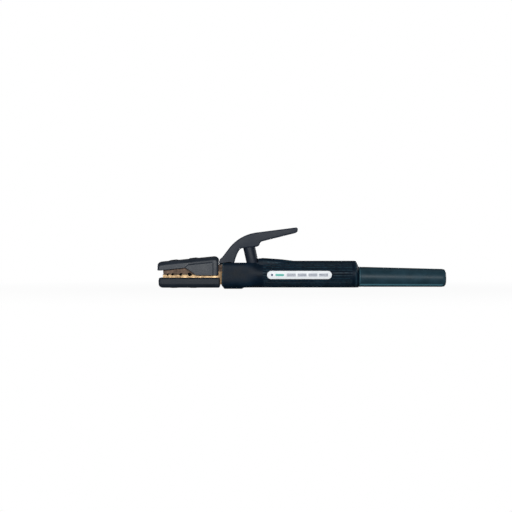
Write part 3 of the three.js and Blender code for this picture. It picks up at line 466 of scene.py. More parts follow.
def moulded(
    name, dark, light, worn, gloss, matt, grain=0.5, relief=0.06, dust=0.2, specular=0.5, painted_reflection=None
):
    """A moulded finish: dark and light are the ends of its clouding, worn the colour of rubbed edges,
    gloss and matt the ends of its roughness, grain and relief the grain's size and height in mm. The last
    colour is painted light, a painted reflection and highlight, laid on where the piece carries the
    attribute of the same name."""
    made, tree, shader = new_material(name)
    skin = use(tree, grain_group, Grain_mm=grain)
    wear = use(tree, wear_group)
    film = use(tree, dust_group, Amount=dust)
    base = tint(tree, skin["Cloud"], colour(dark), colour(light))
    base = tint(tree, times(tree, wear["Rubbed"], 0.7), base, colour(worn))
    base = tint(tree, times(tree, wear["Scratched"], 0.25), base, colour(worn))
    base = tint(tree, film["Dust"], base, colour(DUST))
    # painted reflection: a lighter colour laid on where the mesh carries the attribute
    if painted_reflection:
        base = tint(tree, attribute(tree, "painted_reflection"), base, colour(painted_reflection))
    rough = stretch(tree, skin["Cloud"], 0.0, 1.0, gloss, matt)
    rough = sums(tree, "SUBTRACT", rough, times(tree, wear["Rubbed"], 0.12))
    rough = sums(tree, "MULTIPLY_ADD", film["Dust"], 0.3, rough)
    height = sums(tree, "MULTIPLY_ADD", wear["Scratched"], -0.5, skin["Height"])
    feed(shader, Base_Color=base, Roughness=rough, Normal=bump(tree, height, 0.6, relief))
    shader.inputs["Specular IOR Level"].default_value = specular
    return made


COVER = moulded("cover_finish", "1b222b", "252c36", "454b54", 0.32, 0.42, grain=0.45, dust=0.08,
                specular=0.32)
TRAY = moulded("lower_cover_finish", "191f26", "212831", "3a4046", 0.36, 0.46, grain=0.45, dust=0.08,
               specular=0.15)
SLATE = moulded("lever_finish", "1c222d", "232a36", "454c57", 0.4, 0.5, grain=0.4, dust=0.15, specular=0.2)
GRIP = moulded("grip_finish", "08141f", "0c1f2f", "3a5a66", 0.38, 0.5, grain=0.55, dust=0.06, specular=0.1)
# the boot's lighter 588c9b is a painted reflection of the floor on its lower ribs and a painted highlight
# on its flange rim
RUBBER = moulded("boot_finish", "1f3640", "294450", "3a5a66", 0.36, 0.46, grain=0.7, relief=0.03,
                 specular=0.22, dust=0.0, painted_reflection="588c9b")
FIBRE = moulded("fibre_washer", "5f3526", "7a4a35", "9a6a50", 0.7, 0.85, grain=0.3)
print("moulded finishes:", [m.name for m in (COVER, TRAY, SLATE, GRIP, RUBBER, FIBRE)])

# %% [markdown]
# The jaws are cast from a copper alloy. The lower one is golden, and towards the hinge it darkens to its
# tarnished colour as painted shade. The upper one is the same casting painted a darker brown, as shade
# from the overhanging cover, and both are brighter where the castings were ground. Both are painted black
# along the line where they meet and in their rod grooves, as shade. Pins, screws and the spring are
# steel, except the cover screws, which are brass so that they don't weld themselves in.

# %% Metal finishes
def metal(name, clean, tarnished, bright, dull, metallic, relief=0.02, bite=None, painted_shade_x=None):
    """A metal finish between its clean and tarnished colours, with roughness from bright to dull. A metal
    with a bite is cast, and painted black as shade in its rod grooves, where its groove attribute is 1,
    and along the line where the jaws meet. The bite is (z, x0, x1): the height where the jaws meet, and
    the range of x over which that painted shadow line fades. The last argument is a range of x over which
    the colour turns to the tarnished one: painted shade in the gap between the cover and the handle."""
    made, tree, shader = new_material(name)
    wear = use(tree, wear_group)
    skin = use(tree, cast_group if bite else marks_group)
    patch = skin["Tarnish" if bite else "Dull"]
    if bite:
        place = node(tree, "ShaderNodeSeparateXYZ", {0: surface_point(tree)}).outputs
    # painted shade: in the gap between the cover and the handle the colour turns to the tarnished one
    if painted_shade_x:
        patch = sums(tree, "MAXIMUM", patch, stretch(tree, place["X"], *painted_shade_x))
    base = tint(tree, patch, colour(clean), colour(tarnished))
    base = tint(tree, times(tree, wear["Scratched"], 0.5), base, colour(clean))
    # painted shadow: a black line where the jaws meet, fading towards the rear, and black painted shade in
    # the rod grooves
    if bite:
        off = sums(tree, "ABSOLUTE", sums(tree, "SUBTRACT", place["Z"], bite[0]))
        painted_shadow_line = stretch(tree, off, 0.0002, 0.0008, 0.85, 0.0)
        fading = stretch(tree, place["X"], bite[1], bite[2], 1.0, 0.0)
        painted_shade = sums(tree, "MAXIMUM", attribute(tree, "painted_shade"), times(tree, painted_shadow_line, fading))
        base = tint(tree, painted_shade, base, colour(SHADE_BLACK))
        patch = sums(tree, "MAXIMUM", patch, painted_shade)
    feed(
        shader, Base_Color=base, Roughness=stretch(tree, patch, 0.0, 1.0, bright, dull),
        Metallic=stretch(tree, patch, 0.0, 1.0, metallic, metallic * 0.6),
        Normal=bump(tree, skin["Height"], 0.7, relief),
    )
    return made


CLAMP_Z = -0.2  # the height at which the closed jaws meet
# BITE: the height of the painted shadow line where the jaws meet and the x range over which it fades; it
# also marks the metal as cast
BITE = ((PLACE[2] + CLAMP_Z) * MM, (PLACE[0] - 30) * MM, (PLACE[0] - 26) * MM)
# painted shade: the x range over which the lower casting darkens towards the hinge, between cover and
# handle
HINGE_PAINTED_SHADE = ((PLACE[0] - 7.25) * MM, (PLACE[0] - 3.25) * MM)
BRASS = metal("golden_casting", "e0bb8a", "93744f", 0.42, 0.62, 0.5, 0.14, BITE, HINGE_PAINTED_SHADE)
# the upper jaw is the golden casting painted a darker brown: painted shade from the overhanging cover
PAINTED_SHADE_BRASS = metal("casting_in_painted_shade", "604836", "3c2c1f", 0.45, 0.65, 0.45, 0.14, BITE)
COPPER = metal("rolled_copper", "c98560", "8a5238", 0.3, 0.5, 0.9)
STEEL = metal("plated_steel", "b9bec4", "7d838a", 0.28, 0.5, 0.9)
SPRING = metal("spring_steel", "8f959b", "5c6167", 0.3, 0.5, 0.9, 0.015)
SCREW_BRASS = metal("turned_brass", "cfae74", "8f7247", 0.32, 0.55, 0.85)
print("metals:", [m.name for m in (BRASS, PAINTED_SHADE_BRASS, COPPER, STEEL, SPRING, SCREW_BRASS)])

# %% [markdown]
# The label is a strip of coated film. Its print is plain: a dot, a teal bar and a few blue rules that
# say nothing, where a maker would put a name.

# %% Label finishes
def printed(name, first, second, gloss):
    """A smooth film or ink that is slightly uneven in colour and gloss."""
    made, tree, shader = new_material(name)
    skin = use(tree, grain_group, Grain_mm=0.35, Cloud_mm=9.0)
    wear = use(tree, wear_group, Scratches=0.6)
    base = tint(tree, skin["Cloud"], colour(first), colour(second))
    base = tint(tree, times(tree, wear["Scratched"], 0.3), base, colour(SCUFF))
    rough = stretch(tree, skin["Cloud"], 0.0, 1.0, gloss, gloss + 0.12)
    feed(shader, Base_Color=base, Roughness=rough, Normal=bump(tree, skin["Height"], 0.3, 0.01))
    return made


FILM = printed("coated_film", "fdfdfe", "f6f8fa", 0.35)
NAVY = printed("navy_ink", "3d4a6e", "4a577a", 0.4)
TEAL = printed("teal_ink", "5fc0b0", "74ccbd", 0.4)

# %% [markdown]
# ## The cable boot
#
# A rubber sleeve that snaps into the back of the handle and keeps the cable from kinking. It could be a
# stack of cylinders, but its end is drawn in to a lip, and its axis sinks a little so that the underside
# stays level. So it is one profile, out over the skin and back through the bore, and each of its rings is
# centred on the sinking axis. Two low ribs run along it where the halves of the mould met. Their lighter
# teal is a painted reflection of the floor, and the flange's rim has a fainter painted highlight.

# %% Cable boot
boot_low, boot_high = bench_box("cable_boot")
BOOT_START, BOOT_END = 157.6, boot_high[0]
BOOT_FRONT, BOOT_REAR = 11.7, 10.4  # outer radii behind the handle and at the end
NECK, BEAD, BORE, LIP = 9.7, 10.5, 8.3, 6.4  # radii
CABLE_Z = -3.1
SEAM_TURN, SEAM_WIDTH, SEAM_HEIGHT = radians(51), 0.1, 0.22


def boot_axis(x):
    """Height of the boot's axis: level in the neck, then sinking by the loss of radius."""
    share = np.clip((x - BOOT_START) / (BOOT_END - BOOT_START), 0, 1)
    return CABLE_Z - (BOOT_FRONT - BOOT_REAR) * share


def boot_radius(x):
    """The boot's outer radius, which shrinks as its axis sinks."""
    return BOOT_FRONT + boot_axis(x) - CABLE_Z


def boot_profile():
    """(x, radius) round the boot's wall: neck with its bead, flange, tail, rolled end, lip and bore."""
    start, tail_end = boot_low[0], BOOT_END - 3.4
    return rounded([
        (start, 9.0), (start + 0.6, NECK, 0.3), (start + 1.8, BEAD, 0.5),
        (start + 3.0, BEAD, 0.4), (start + 3.1, NECK), (BOOT_START, NECK, 0.2),
        (BOOT_START, BOOT_FRONT, 0.35), (BOOT_START + 1.5, BOOT_FRONT, 0.3),
        (BOOT_START + 1.9, boot_radius(BOOT_START + 2) - 0.2, 0.3),
        *[(x, boot_radius(x) - 0.08) for x in np.linspace(BOOT_START + 6, tail_end - 6, 24)],
        (tail_end, boot_radius(tail_end) - 0.05, 2.0), (BOOT_END - 1.2, boot_radius(BOOT_END) - 0.8, 1.2),
        (BOOT_END, 7.6, 0.7), (BOOT_END, LIP, 0.4), (BOOT_END - 3.2, LIP, 0.6), (BOOT_END - 6.2, BORE, 1.0),
        (start, BORE),
    ], 5)


def boot_rings(sides=160):
    """Rings of the boot. A mould rib lifts the radius by a narrow bell curve of the turn."""
    x, radius = boot_profile().T
    turn = np.linspace(0, 2 * np.pi, sides, endpoint=False)
    ribs = np.array([[np.pi + SEAM_TURN], [-SEAM_TURN]])
    away = np.abs((turn - ribs + np.pi) % (2 * np.pi) - np.pi).min(0)
    rib = np.exp(-((away / SEAM_WIDTH) ** 2))
    skin = radius > NECK + 0.1
    outside = (skin & (x > BOOT_START + 1) & (x < BOOT_END - 4))[:, None]
    reach = radius[:, None] + SEAM_HEIGHT * rib * outside
    y, z = reach * np.cos(turn), boot_axis(x)[:, None] + reach * np.sin(turn)
    rings = np.stack([np.broadcast_to(x[:, None], y.shape), y, z], -1)
    ends = np.exp(-(((x - BOOT_START) / 1.2) ** 2)) + np.exp(-(((x - BOOT_END + 1) / 1.6) ** 2))
    # painted light: the flange's rim gets a faint painted highlight and the ribs a painted reflection of
    # the floor, in a lighter colour
    flange = np.exp(-(((x - BOOT_START - 0.5) / 0.5) ** 2)) * (radius > 11)
    return rings, {
        "rub": (ends * skin)[:, None],
        "painted_reflection": np.maximum(rib * outside, 0.3 * flange[:, None]),
    }


boot = shaded(ring_tube("boot_skin", *boot_rings()), 40)
dress(boot, RUBBER, HOLDER, "boot_rubber", "cable_boot")

# %% [markdown]
# ## The handle
#
# One moulding changes from a box, where the pivot sits, to a ribbed round grip, with a thumb rest humped
# up behind the lever's sleeve. Stacking boxes and cylinders would leave seams where a mould leaves none.
# In polar form each of these shapes is a single formula, a rounded box of any squareness:
# (|cos t| / a)^p + (|sin t| / b)^p = 1 / r^p. The skin is the largest of them in every direction.

# %% Skin of the handle
GRIP_RADIUS, GRIP_LENGTH = 15.5, bench_box("handle")[1][0]
COLLAR, SLOT_END = 26.0, 44.58
COLLAR_FLOOR, PAD_DEPTH, PAD_HALF_WIDTH = 12.9, 16.9, 9.9
RIBS, RIB_DEPTH = 30, 0.6
TAPER = 3.4  # the length over which the rear end narrows
TAPER_START = GRIP_LENGTH - TAPER
FRONT_LEAN = 1.5  # the front face's lower edge stands this far ahead of its upper edge
FRONT_EDGE = 0.6  # the rounding of the front face's rim


def box_radius(turn, half_width, half_height, power):
    """Distance from the axis to a box with rounded corners: power 2 is an ellipse, 10 nearly a box."""
    across, up = np.abs(np.cos(turn)) / half_width, np.abs(np.sin(turn)) / half_height
    return (across**power + up**power) ** (-1 / power)


def handle_rings(sides=RIBS * 16):
    """Rings of the handle's outside, from the front face to the rear end."""
    x = np.concatenate([
        [0, 0.12, 0.3, 0.6, 1.0, 1.43, 1.8, 2.2, 2.7], np.arange(4, 21, 4), [21.6, 22.2, 23, 24, 25],
        np.arange(26, 47, 0.8), np.arange(47.2, 87, 1.4), np.arange(88, 148, 6),
        [148.4, 149, 149.6, 150.2, 151, 152.4, 153.2, 153.6, 154, 155, 156, 156.6, GRIP_LENGTH],
    ])[:, None]
    turn = np.linspace(0, 2 * np.pi, sides, endpoint=False)[None]
    below = np.sin(turn) < 0
    floor = np.minimum(COLLAR_FLOOR + x * (PAD_DEPTH - COLLAR_FLOOR) / 2.2, GRIP_RADIUS)
    collar = box_radius(turn, GRIP_RADIUS - 0.1, np.where(below, floor, GRIP_RADIUS), 4.9)
    off = np.abs((turn * RIBS / (2 * np.pi) + 0.5) % 1 - 0.5)
    groove = RIB_DEPTH * (1 - smooth(off / 0.2)) - 0.12 * np.cos(np.pi * np.clip(2 * off - 0.4, 0, 1) / 2)
    ribbed = smooth((x - 45.6) / 2) * smooth((150 - x) / 2)
    grip = GRIP_RADIUS - np.maximum(groove, 0) * ribbed
    skin = collar + (grip - collar) * smooth((x - COLLAR) / (SLOT_END + 2 - COLLAR))
    pad_drop = np.interp(x, [0, 2.2, 22, 25], [COLLAR_FLOOR, PAD_DEPTH, PAD_DEPTH, 15.2])
    pad = np.where(below & (x < 25.5), box_radius(turn, PAD_HALF_WIDTH, pad_drop, 14), 0)
    hump_x = [40.6, 41.8, 46.6, 66.1, 85.6]
    hump_width = np.interp(x, hump_x, [11.0, 11.3, 11.3, 9.3, 6.0])
    hump_top = GRIP_RADIUS + np.interp(x, hump_x, [2.6, 3.0, 3.2, 1.9, -0.4])
    hump = np.where(~below & (x > 30) & (x < 86), box_radius(turn, hump_width, hump_top, 7), 0)
    skin = np.maximum(np.maximum(skin, pad), hump)
    taper = np.clip((x - TAPER_START) / TAPER, 0, 1) ** 1.15
    skin = skin - (GRIP_RADIUS - BOOT_FRONT - 0.5) * taper
    front = np.clip(1 - x / FRONT_EDGE, 0, 1)
    skin = skin - FRONT_EDGE * (1 - np.sqrt(1 - front**2))
    height = CABLE_Z * taper + skin * np.sin(turn)
    lean = FRONT_LEAN * (GRIP_RADIUS - height) / (2 * GRIP_RADIUS) * np.clip(1 - x / 2.6, 0, 1)
    rings = np.stack([x - lean, skin * np.cos(turn), height], -1)
    rub = np.maximum(np.exp(-((x / 0.9) ** 2)), 0.8 * np.exp(-(((x - TAPER_START) / 0.9) ** 2)))
    rub = np.maximum(rub, 0.6 * ribbed * smooth((off - 0.2) / 0.2))
    return rings, {"rub": rub}


handle = loft("handle_moulding", *handle_rings())
print("handle skin:", len(handle.data.polygons), "faces")

# %% [markdown]
# The moulding is hollow. The collar is open at the front and on top, where the lever comes out, the slot
# reaches back to the thumb rest, and the bore takes the cable socket and the boot's neck. The label lies
# in a shallow recess, and a screw comes up through the pad.

# %% Hollows of the handle
label_low, label_high = bench_box("label_plate")
LABEL_Z = (label_low[2] + label_high[2]) / 2
screw_low, screw_high = bench_box("handle_screw")
SCREW_X = (screw_low[0] + screw_high[0]) / 2
SCREW_HEAD = 1.6  # the height of every screw's head


def pill(low_x, high_x, middle_z, half_height, spacing=0.45):
    """An outline with half-round ends."""
    right = arc((high_x - half_height, middle_z), half_height, -90, 90)
    left = arc((low_x + half_height, middle_z), half_height, 90, 270)
    return evenly(np.vstack([right, left]), spacing)


recess = moulding(
    "cutter",
    pill(label_low[0] - 0.3, label_high[0] + 0.3, LABEL_Z, (label_high[2] - label_low[2]) / 2 + 0.3),
    -25, label_high[1] + 0.3, 0.05, 2,
)
cut(
    handle,
    block(-3, SLOT_END - 4, -20, 20, 13.3, 40),  # the collar's open top
    block(-3, COLLAR, -12.5, 12.5, -12.2, 25, 2.5),  # the room for the hinge
    block(COLLAR - 1, SLOT_END, -7.9, 7.9, 0, 40, 1.2),  # the slot for the sleeve
    rod(12.7, (COLLAR - 1, 0, 0), (142.7, 0, 0), 96),  # the grip's bore
    rod(10.8, (137.7, 0, CABLE_Z), (143, 0, CABLE_Z), 96),  # the room for the boot's bead
    rod(10.0, (142, 0, CABLE_Z), (160, 0, CABLE_Z), 96),  # the way in for the boot's neck
    recess,
    rod(4.6, (SCREW_X, 0, -18), (SCREW_X, 0, screw_low[2] + SCREW_HEAD), 48),  # the pad screw's head
    rod(2.5, (SCREW_X, 0, -18), (SCREW_X, 0, -11), 48),  # and its shank
)
dress(shaded(handle, 38), GRIP, HOLDER, "grip_plastic", "handle")

# %% [markdown]
# ## The label
#
# A pill-shaped strip of film, with its edge rounded by a tenth of a millimetre so that it catches light.
# The print is made as thin raised rules in their own colours. A texture would do as well, but real
# geometry keeps its edge at any distance.

# %% Label and its print
film = moulding(
    "label_strip",
    pill(label_low[0], label_high[0], LABEL_Z, (label_high[2] - label_low[2]) / 2),
    label_low[1], label_high[1], 0.14, 4,
)
dress(shaded(film), FILM, HOLDER, "label_film", "label_plate")
INK = 0.05
PRINT_FRONT = label_low[1] - INK


def rule(name, start, end, middle_z, height, ink):
    """A printed bar with round ends, standing INK proud of the film."""
    outline = pill(start, end, middle_z, height / 2, 0.2)
    bar = moulding(name, outline, PRINT_FRONT, label_low[1] + 0.1, 0.02, 3)
    dress(shaded(bar), ink, HOLDER, "label_film")


BAR, RULE, RULE_LENGTH, RULE_RISE = 2.6, 0.9, 10.4, 0.95
rule("label_dot_navy", 55.4, 58.0, LABEL_Z, BAR, NAVY)
rule("label_bar_teal", 60.4, 70.6, LABEL_Z, BAR, TEAL)
for number, start in enumerate(np.linspace(73.6, 110.8, 4), 1):
    for line, rise in (("upper", RULE_RISE), ("lower", -RULE_RISE)):
        rule(f"label_rule_{number}_{line}", start, start + RULE_LENGTH, LABEL_Z + rise, RULE, NAVY)

# %% [markdown]
# ## The lever
#
# Seen from the side the lever is one line: up from the pivot, over a round crown and down the thumb rest,
# then back under, round the heel and the web that holds the sleeve. That outline is carried across the
# width with its edges rounded over.

# %% Lever
CROWN, CROWN_RADIUS, CROWN_END = PIVOT[[0, 2]] + [37.9, -4.1], 47.6, 97.3
SLOPE = tan(radians(7.3))
lever_low, lever_high = bench_box("lever_grip")


def lever_outline():
    """The lever's outline in x and z: parabolas and arcs joined end to end."""
    px, pz = PIVOT[0], PIVOT[2]
    tip = lever_high[0]
    crown_end = CROWN + CROWN_RADIUS * np.array([np.cos(radians(CROWN_END)), np.sin(radians(CROWN_END))])
    crown_start = CROWN + CROWN_RADIUS * np.array([np.cos(radians(140)), np.sin(radians(140))])

    def under(x):
        return pz + 33.1 + (x - px - 38.8) * tan(radians(14))

    def over(x):
        return crown_end[1] + (x - crown_end[0]) * SLOPE

    foot, foot_bottom = lever_low[0], pz + 5.95
    heel = px + 38.8
    middle = (tip, (over(tip) + under(tip)) / 2)
    line = np.vstack([
        np.linspace((foot, foot_bottom), (foot, foot_bottom + 2.8), 6),
        bend((foot, foot_bottom + 3.2), (foot, pz + 12.6), (px - 7.9, pz + 14.3)),
        np.linspace((px - 7.5, pz + 14.9), crown_start - [0.4, 0.5], 20),
        arc(CROWN, CROWN_RADIUS, 140, CROWN_END, 60),
        np.linspace((crown_end[0] + 1, over(crown_end[0] + 1)), (tip - 3, over(tip - 3)), 40),
        bend((tip - 3, over(tip - 3)), (tip + 0.1, over(tip)), middle),
        bend(middle, (tip - 0.1, under(tip)), (tip - 3.4, under(tip - 3.4))),
        np.linspace((tip - 4, under(tip - 4)), (heel, under(heel)), 30),
        bend((heel, under(heel)), (heel - 2.4, pz + 32.4), (heel - 3.2, pz + 29.8)),
        bend((heel - 3.2, pz + 29.8), (heel - 4.2, pz + 26.9), (heel - 8, pz + 26.6)),
        np.linspace((heel - 8.5, pz + 26.55), (px + 15, pz + 24.9), 20),
        bend((px + 15, pz + 24.9), (px + 12.6, pz + 24.4), (px + 11, pz + 21.4)),
        bend((px + 11, pz + 21.4), (px + 7.6, pz + 14.6), (px + 6.4, pz + 9)),
        arc((px, pz), 7.6, 55, 126, 24),
    ])
    return evenly(line, 0.55)


lever = moulding("lever_moulding", lever_outline(), lever_low[1], lever_high[1], 1.6, 8)
print("lever outline:", len(lever.data.polygons), "faces")

# %% [markdown]
# ## Screws
#
# A cheese-head screw is a turned profile with a sawn slot. The head's rim is broken by a small rounding,
# because a sharp rim would show as a hard line. Six screws of three sizes come from one function.

# %% Screws
SAW_WIDTH, SAW_DEPTH = 0.9, 0.55  # the depth is a share of the head's height
SMALL = (3, 1.5)  # radii of head and shank
LARGE = (4.3, 2.2)
COVER_SHANK, LEVER_SHANK = 7, 4.6
HEAD_TILT = radians(5.75)  # the slope of the upper cover's top
HEAD_UP = np.array([-np.sin(HEAD_TILT), 0, np.cos(HEAD_TILT)])
DOWN = np.array([0.0, 0.0, -1.0])


def screw(name, seat, axis, radii, shank_length, finish, body, slot, node_name):
    """A slotted screw whose head rises from seat along axis."""
    head, shank = radii
    profile = rounded([
        (0.02, -shank_length), (shank, -shank_length, 0.4), (shank, 0), (head, 0, 0.15),
        (head, SCREW_HEAD, 0.45), (0.02, SCREW_HEAD + 0.12),
    ])
    made = turned(name, profile, seat, axis, 48, closed=False)
    side = np.array([0.0, 1.0, 0.0])
    along = np.cross(side, axis)
    corners = np.array([(1, 1), (-1, 1), (-1, -1), (1, -1)])
    foot = seat + axis * SCREW_HEAD * (1 - SAW_DEPTH)
    ring = foot + corners[:, :1] * (head + 1) * along + corners[:, 1:] * SAW_WIDTH / 2 * side
    made = cut(made, loft("cutter", np.stack([ring, ring + axis * 3])))
    dress(shaded(made, 30), finish, body, slot, node_name)


def upper_seat(end):
    """Where the head of an upper cover's screw sits. The CAD's screw is centred in its own box."""
    low, high = bench_box("upper_insulator_screw_" + end)
    middle = np.array([(low[0] + high[0]) / 2, 0, (low[2] + high[2]) / 2])
    return middle + HEAD_UP * (COVER_SHANK - SCREW_HEAD) / 2


def lower_seat(end):
    """Where the head of a lower cover's screw sits: a head's height over its lowest point."""
    low, high = bench_box("lower_insulator_screw_" + end)
    return np.array([(low[0] + high[0]) / 2, 0, low[2] + SCREW_HEAD])


def head_room(seat, up):
    """The cutter for a screw's head: from just under its seat out through the moulding."""
    return rod(3.3, seat - up * 0.3, seat + up * 12)


ENDS = ("front", "rear")
for end in ENDS:
    screw("upper_cover_screw_" + end, upper_seat(end), HEAD_UP, SMALL, COVER_SHANK, SCREW_BRASS, LEVER,
          "screw_brass", "upper_insulator_screw_" + end)
    screw("lower_cover_screw_" + end, lower_seat(end), DOWN, SMALL, COVER_SHANK, SCREW_BRASS, HOLDER,
          "screw_brass", "lower_insulator_screw_" + end)
pad_seat = np.array([SCREW_X, 0, screw_low[2] + SCREW_HEAD])
pad_shank = screw_high[2] - pad_seat[2]
screw("pad_screw", pad_seat, DOWN, LARGE, pad_shank, STEEL, HOLDER, "steel", "handle_screw")

# %% [markdown]
# The lever's own screw comes up through the underside of the thumb rest. Its recess follows the screw's
# lean.

# %% Lever screw and its recess
LEVER_SCREW_TURN = radians(170)
lever_axis = np.array([np.sin(LEVER_SCREW_TURN), 0, np.cos(LEVER_SCREW_TURN)])
lever_middle = np.mean(bench_box("lever_screw"), 0)
lever_seat = lever_middle - lever_axis * (SCREW_HEAD - LEVER_SHANK) / 2
cut(lever, head_room(lever_seat, lever_axis))
dress(shaded(lever, 40), SLATE, LEVER, "lever_plastic", "lever_grip")
screw("lever_arm_screw", lever_seat, lever_axis, SMALL, LEVER_SHANK, STEEL, LEVER, "steel", "lever_screw")

# %% [markdown]
# ## Sleeve and spring
#
# The sleeve is a plain tube with rounded rims that leans towards the jaws. The spring in it is a round
# wire wound on a helix. Its ends are closed up and lie flat, as on a real compression spring, so the
# height doesn't rise evenly: it starts slowly, climbs, and slows down again.

# %% Sleeve
SLEEVE_TILT = radians(12.6)
SLEEVE_AXIS = np.array([-np.sin(SLEEVE_TILT), 0, np.cos(SLEEVE_TILT)])
SLEEVE_ACROSS = np.array([np.cos(SLEEVE_TILT), 0, np.sin(SLEEVE_TILT)])
SLEEVE_REACH, SLEEVE_LENGTH, SLEEVE_RADIUS, SLEEVE_BORE = 28.5, 24.7, 7.0, 5.9
SLEEVE_FOOT = PIVOT + SLEEVE_REACH * SLEEVE_ACROSS
sleeve_profile = rounded([
    (SLEEVE_BORE, 0, 0.3), (SLEEVE_RADIUS, 0, 0.5),
    (SLEEVE_RADIUS, SLEEVE_LENGTH, 0.4), (SLEEVE_BORE, SLEEVE_LENGTH, 0.3),
])
sleeve = turned("sleeve_tube", sleeve_profile, SLEEVE_FOOT, SLEEVE_AXIS, 96)
dress(shaded(sleeve, 50), SLATE, LEVER, "sleeve_plastic", "spring_sleeve")

# %% Spring
SPRING_TURNS, SPRING_RADIUS, WIRE = 11, 4.0, 0.8
SPRING_LOW, SPRING_HIGH = -9.1, 22.1


def spring_rings(steps=720, sides=14):
    """A wire on a helix: the middle line is P + h(t) A + R (cos w t, sin w t), and each ring of the wire
    stands square to its direction."""
    t = np.linspace(0, 1, steps)
    height = SPRING_LOW + (SPRING_HIGH - SPRING_LOW) * (t - 0.028 * np.sin(2 * np.pi * t))
    turn = 2 * np.pi * SPRING_TURNS * t
    out = np.cos(turn)[:, None] * SLEEVE_ACROSS + np.sin(turn)[:, None] * np.array([0.0, 1.0, 0.0])
    line = SLEEVE_FOOT + height[:, None] * SLEEVE_AXIS + SPRING_RADIUS * out
    way = np.gradient(line, axis=0)
    way /= np.linalg.norm(way, axis=1, keepdims=True)
    up = np.cross(out, way)
    around = np.linspace(0, 2 * np.pi, sides, endpoint=False)[None, :, None]
    return line[:, None] + WIRE * (np.cos(around) * out[:, None] + np.sin(around) * up[:, None])


spring = shaded(loft("spring_wire", spring_rings()), 60)
spring.data.materials.append(SPRING)
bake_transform(spring)
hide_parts("return_spring")
print("spring:", len(spring.data.polygons), "faces")

# %% [markdown]
# ## The covers
#
# Each jaw lies in an insulating cover. The upper one is a loaf with a sloping back, rounded along its top
# edges, and its sides drop into skirts behind the jaws' mouth. The skirts stand a little proud, with a
# slanting front edge. The loaf is one grid of rings along x, whose underside follows a line of its own,
# and the proud part and the low domes round the screws are pushed out of the same grid.

# %% Upper cover
cover_low, cover_high = bench_box("upper_insulator")
NOSE_X, HEAD_REAR = cover_low[0], cover_high[0]
HEAD_SLOPE = tan(HEAD_TILT)
JAW_FRONT = bench_box("lower_jaw")[0][0]
SCREW_PLACES = np.array([JAW_FRONT + 12.4, JAW_FRONT + 35.0])
SKIRT_FRONT = HEAD_REAR - 37.7
COVER_HEIGHT, BAR_HEIGHT = 21.5, 10.4  # from the bite to the top at the rear, and the nose's own height
COVER_HALF_WIDTH, SKIRT_PROUD = 12, 0.6
DOME_RADIUS, UPPER_DOME, LOWER_DOME = 5.8, 1.0, 0.5


def head_top(x):
    """Height of the upper cover's top line."""
    return CLAMP_Z + COVER_HEIGHT + (x - HEAD_REAR) * HEAD_SLOPE


def dome(x, y, slip=0.0):
    """The low swellings round the screws: 1 - (r / R)^2 inside the radius R, and 0 outside."""
    away = np.min([np.hypot(x - place + slip, y) for place in SCREW_PLACES], 0)
    return np.clip(1 - (away / DOME_RADIUS) ** 2, 0, 1)


def box_ring(half_width, bottom, top, top_corner, bottom_corner, steps=12, side_steps=40, flat_steps=24):
    """Sections across x: a box with rounded corners as (sections, points, 2). Every corner is a quarter
    circle, and the sides between them are divided evenly."""
    quarter = np.linspace(0, np.pi / 2, steps)
    out, up = np.sin(quarter), np.cos(quarter)
    half_width, bottom, top, top_corner, bottom_corner = (
        np.broadcast_to(np.asarray(v, float), np.shape(bottom))[:, None]
        for v in (half_width, bottom, top, top_corner, bottom_corner)
    )
    top_y = half_width - top_corner * (1 - out)
    top_z = top - top_corner * (1 - up)
    low_y = (half_width - bottom_corner * (1 - out))[:, ::-1]
    low_z = (bottom + bottom_corner * (1 - up))[:, ::-1]
    share = np.linspace(0, 1, side_steps + 2)[1:-1]
    side_z = top_z[:, -1:] + (low_z[:, :1] - top_z[:, -1:]) * share
    side_y = np.broadcast_to(half_width, side_z.shape)
    flat = np.linspace(-1, 1, flat_steps + 2)[1:-1]
    right_y = np.hstack([top_y, side_y, low_y])
    right_z = np.hstack([top_z, side_z, low_z])
    under_y, over_y = -flat * low_y[:, -1:], flat * top_y[:, :1]
    under_z = np.broadcast_to(low_z[:, -1:], under_y.shape)
    over_z = np.broadcast_to(top_z[:, :1], over_y.shape)
    y = np.hstack([right_y, under_y, -right_y[:, ::-1], over_y])
    z = np.hstack([right_z, under_z, right_z[:, ::-1], over_z])
    return np.stack([y, z], -1)


def stations(start, end, spacing, edge):
    """Places along x, close together at both ends, where the solid rounds off."""
    near = edge * (1 - np.cos(np.linspace(0, np.pi / 2, 9)))
    between = np.arange(start + edge + spacing, end - edge, spacing)
    return np.concatenate([start + near, between, end - near[::-1]])


def end_inset(x, start, end, front, rear, front_run, rear_run):
    """How far a ring draws in near an end: a quarter ellipse of the distance from that end."""
    a = np.clip(1 - (x - start) / front_run, 0, 1)
    b = np.clip(1 - (end - x) / rear_run, 0, 1)
    return front * (1 - np.sqrt(1 - a**2)) + rear * (1 - np.sqrt(1 - b**2))


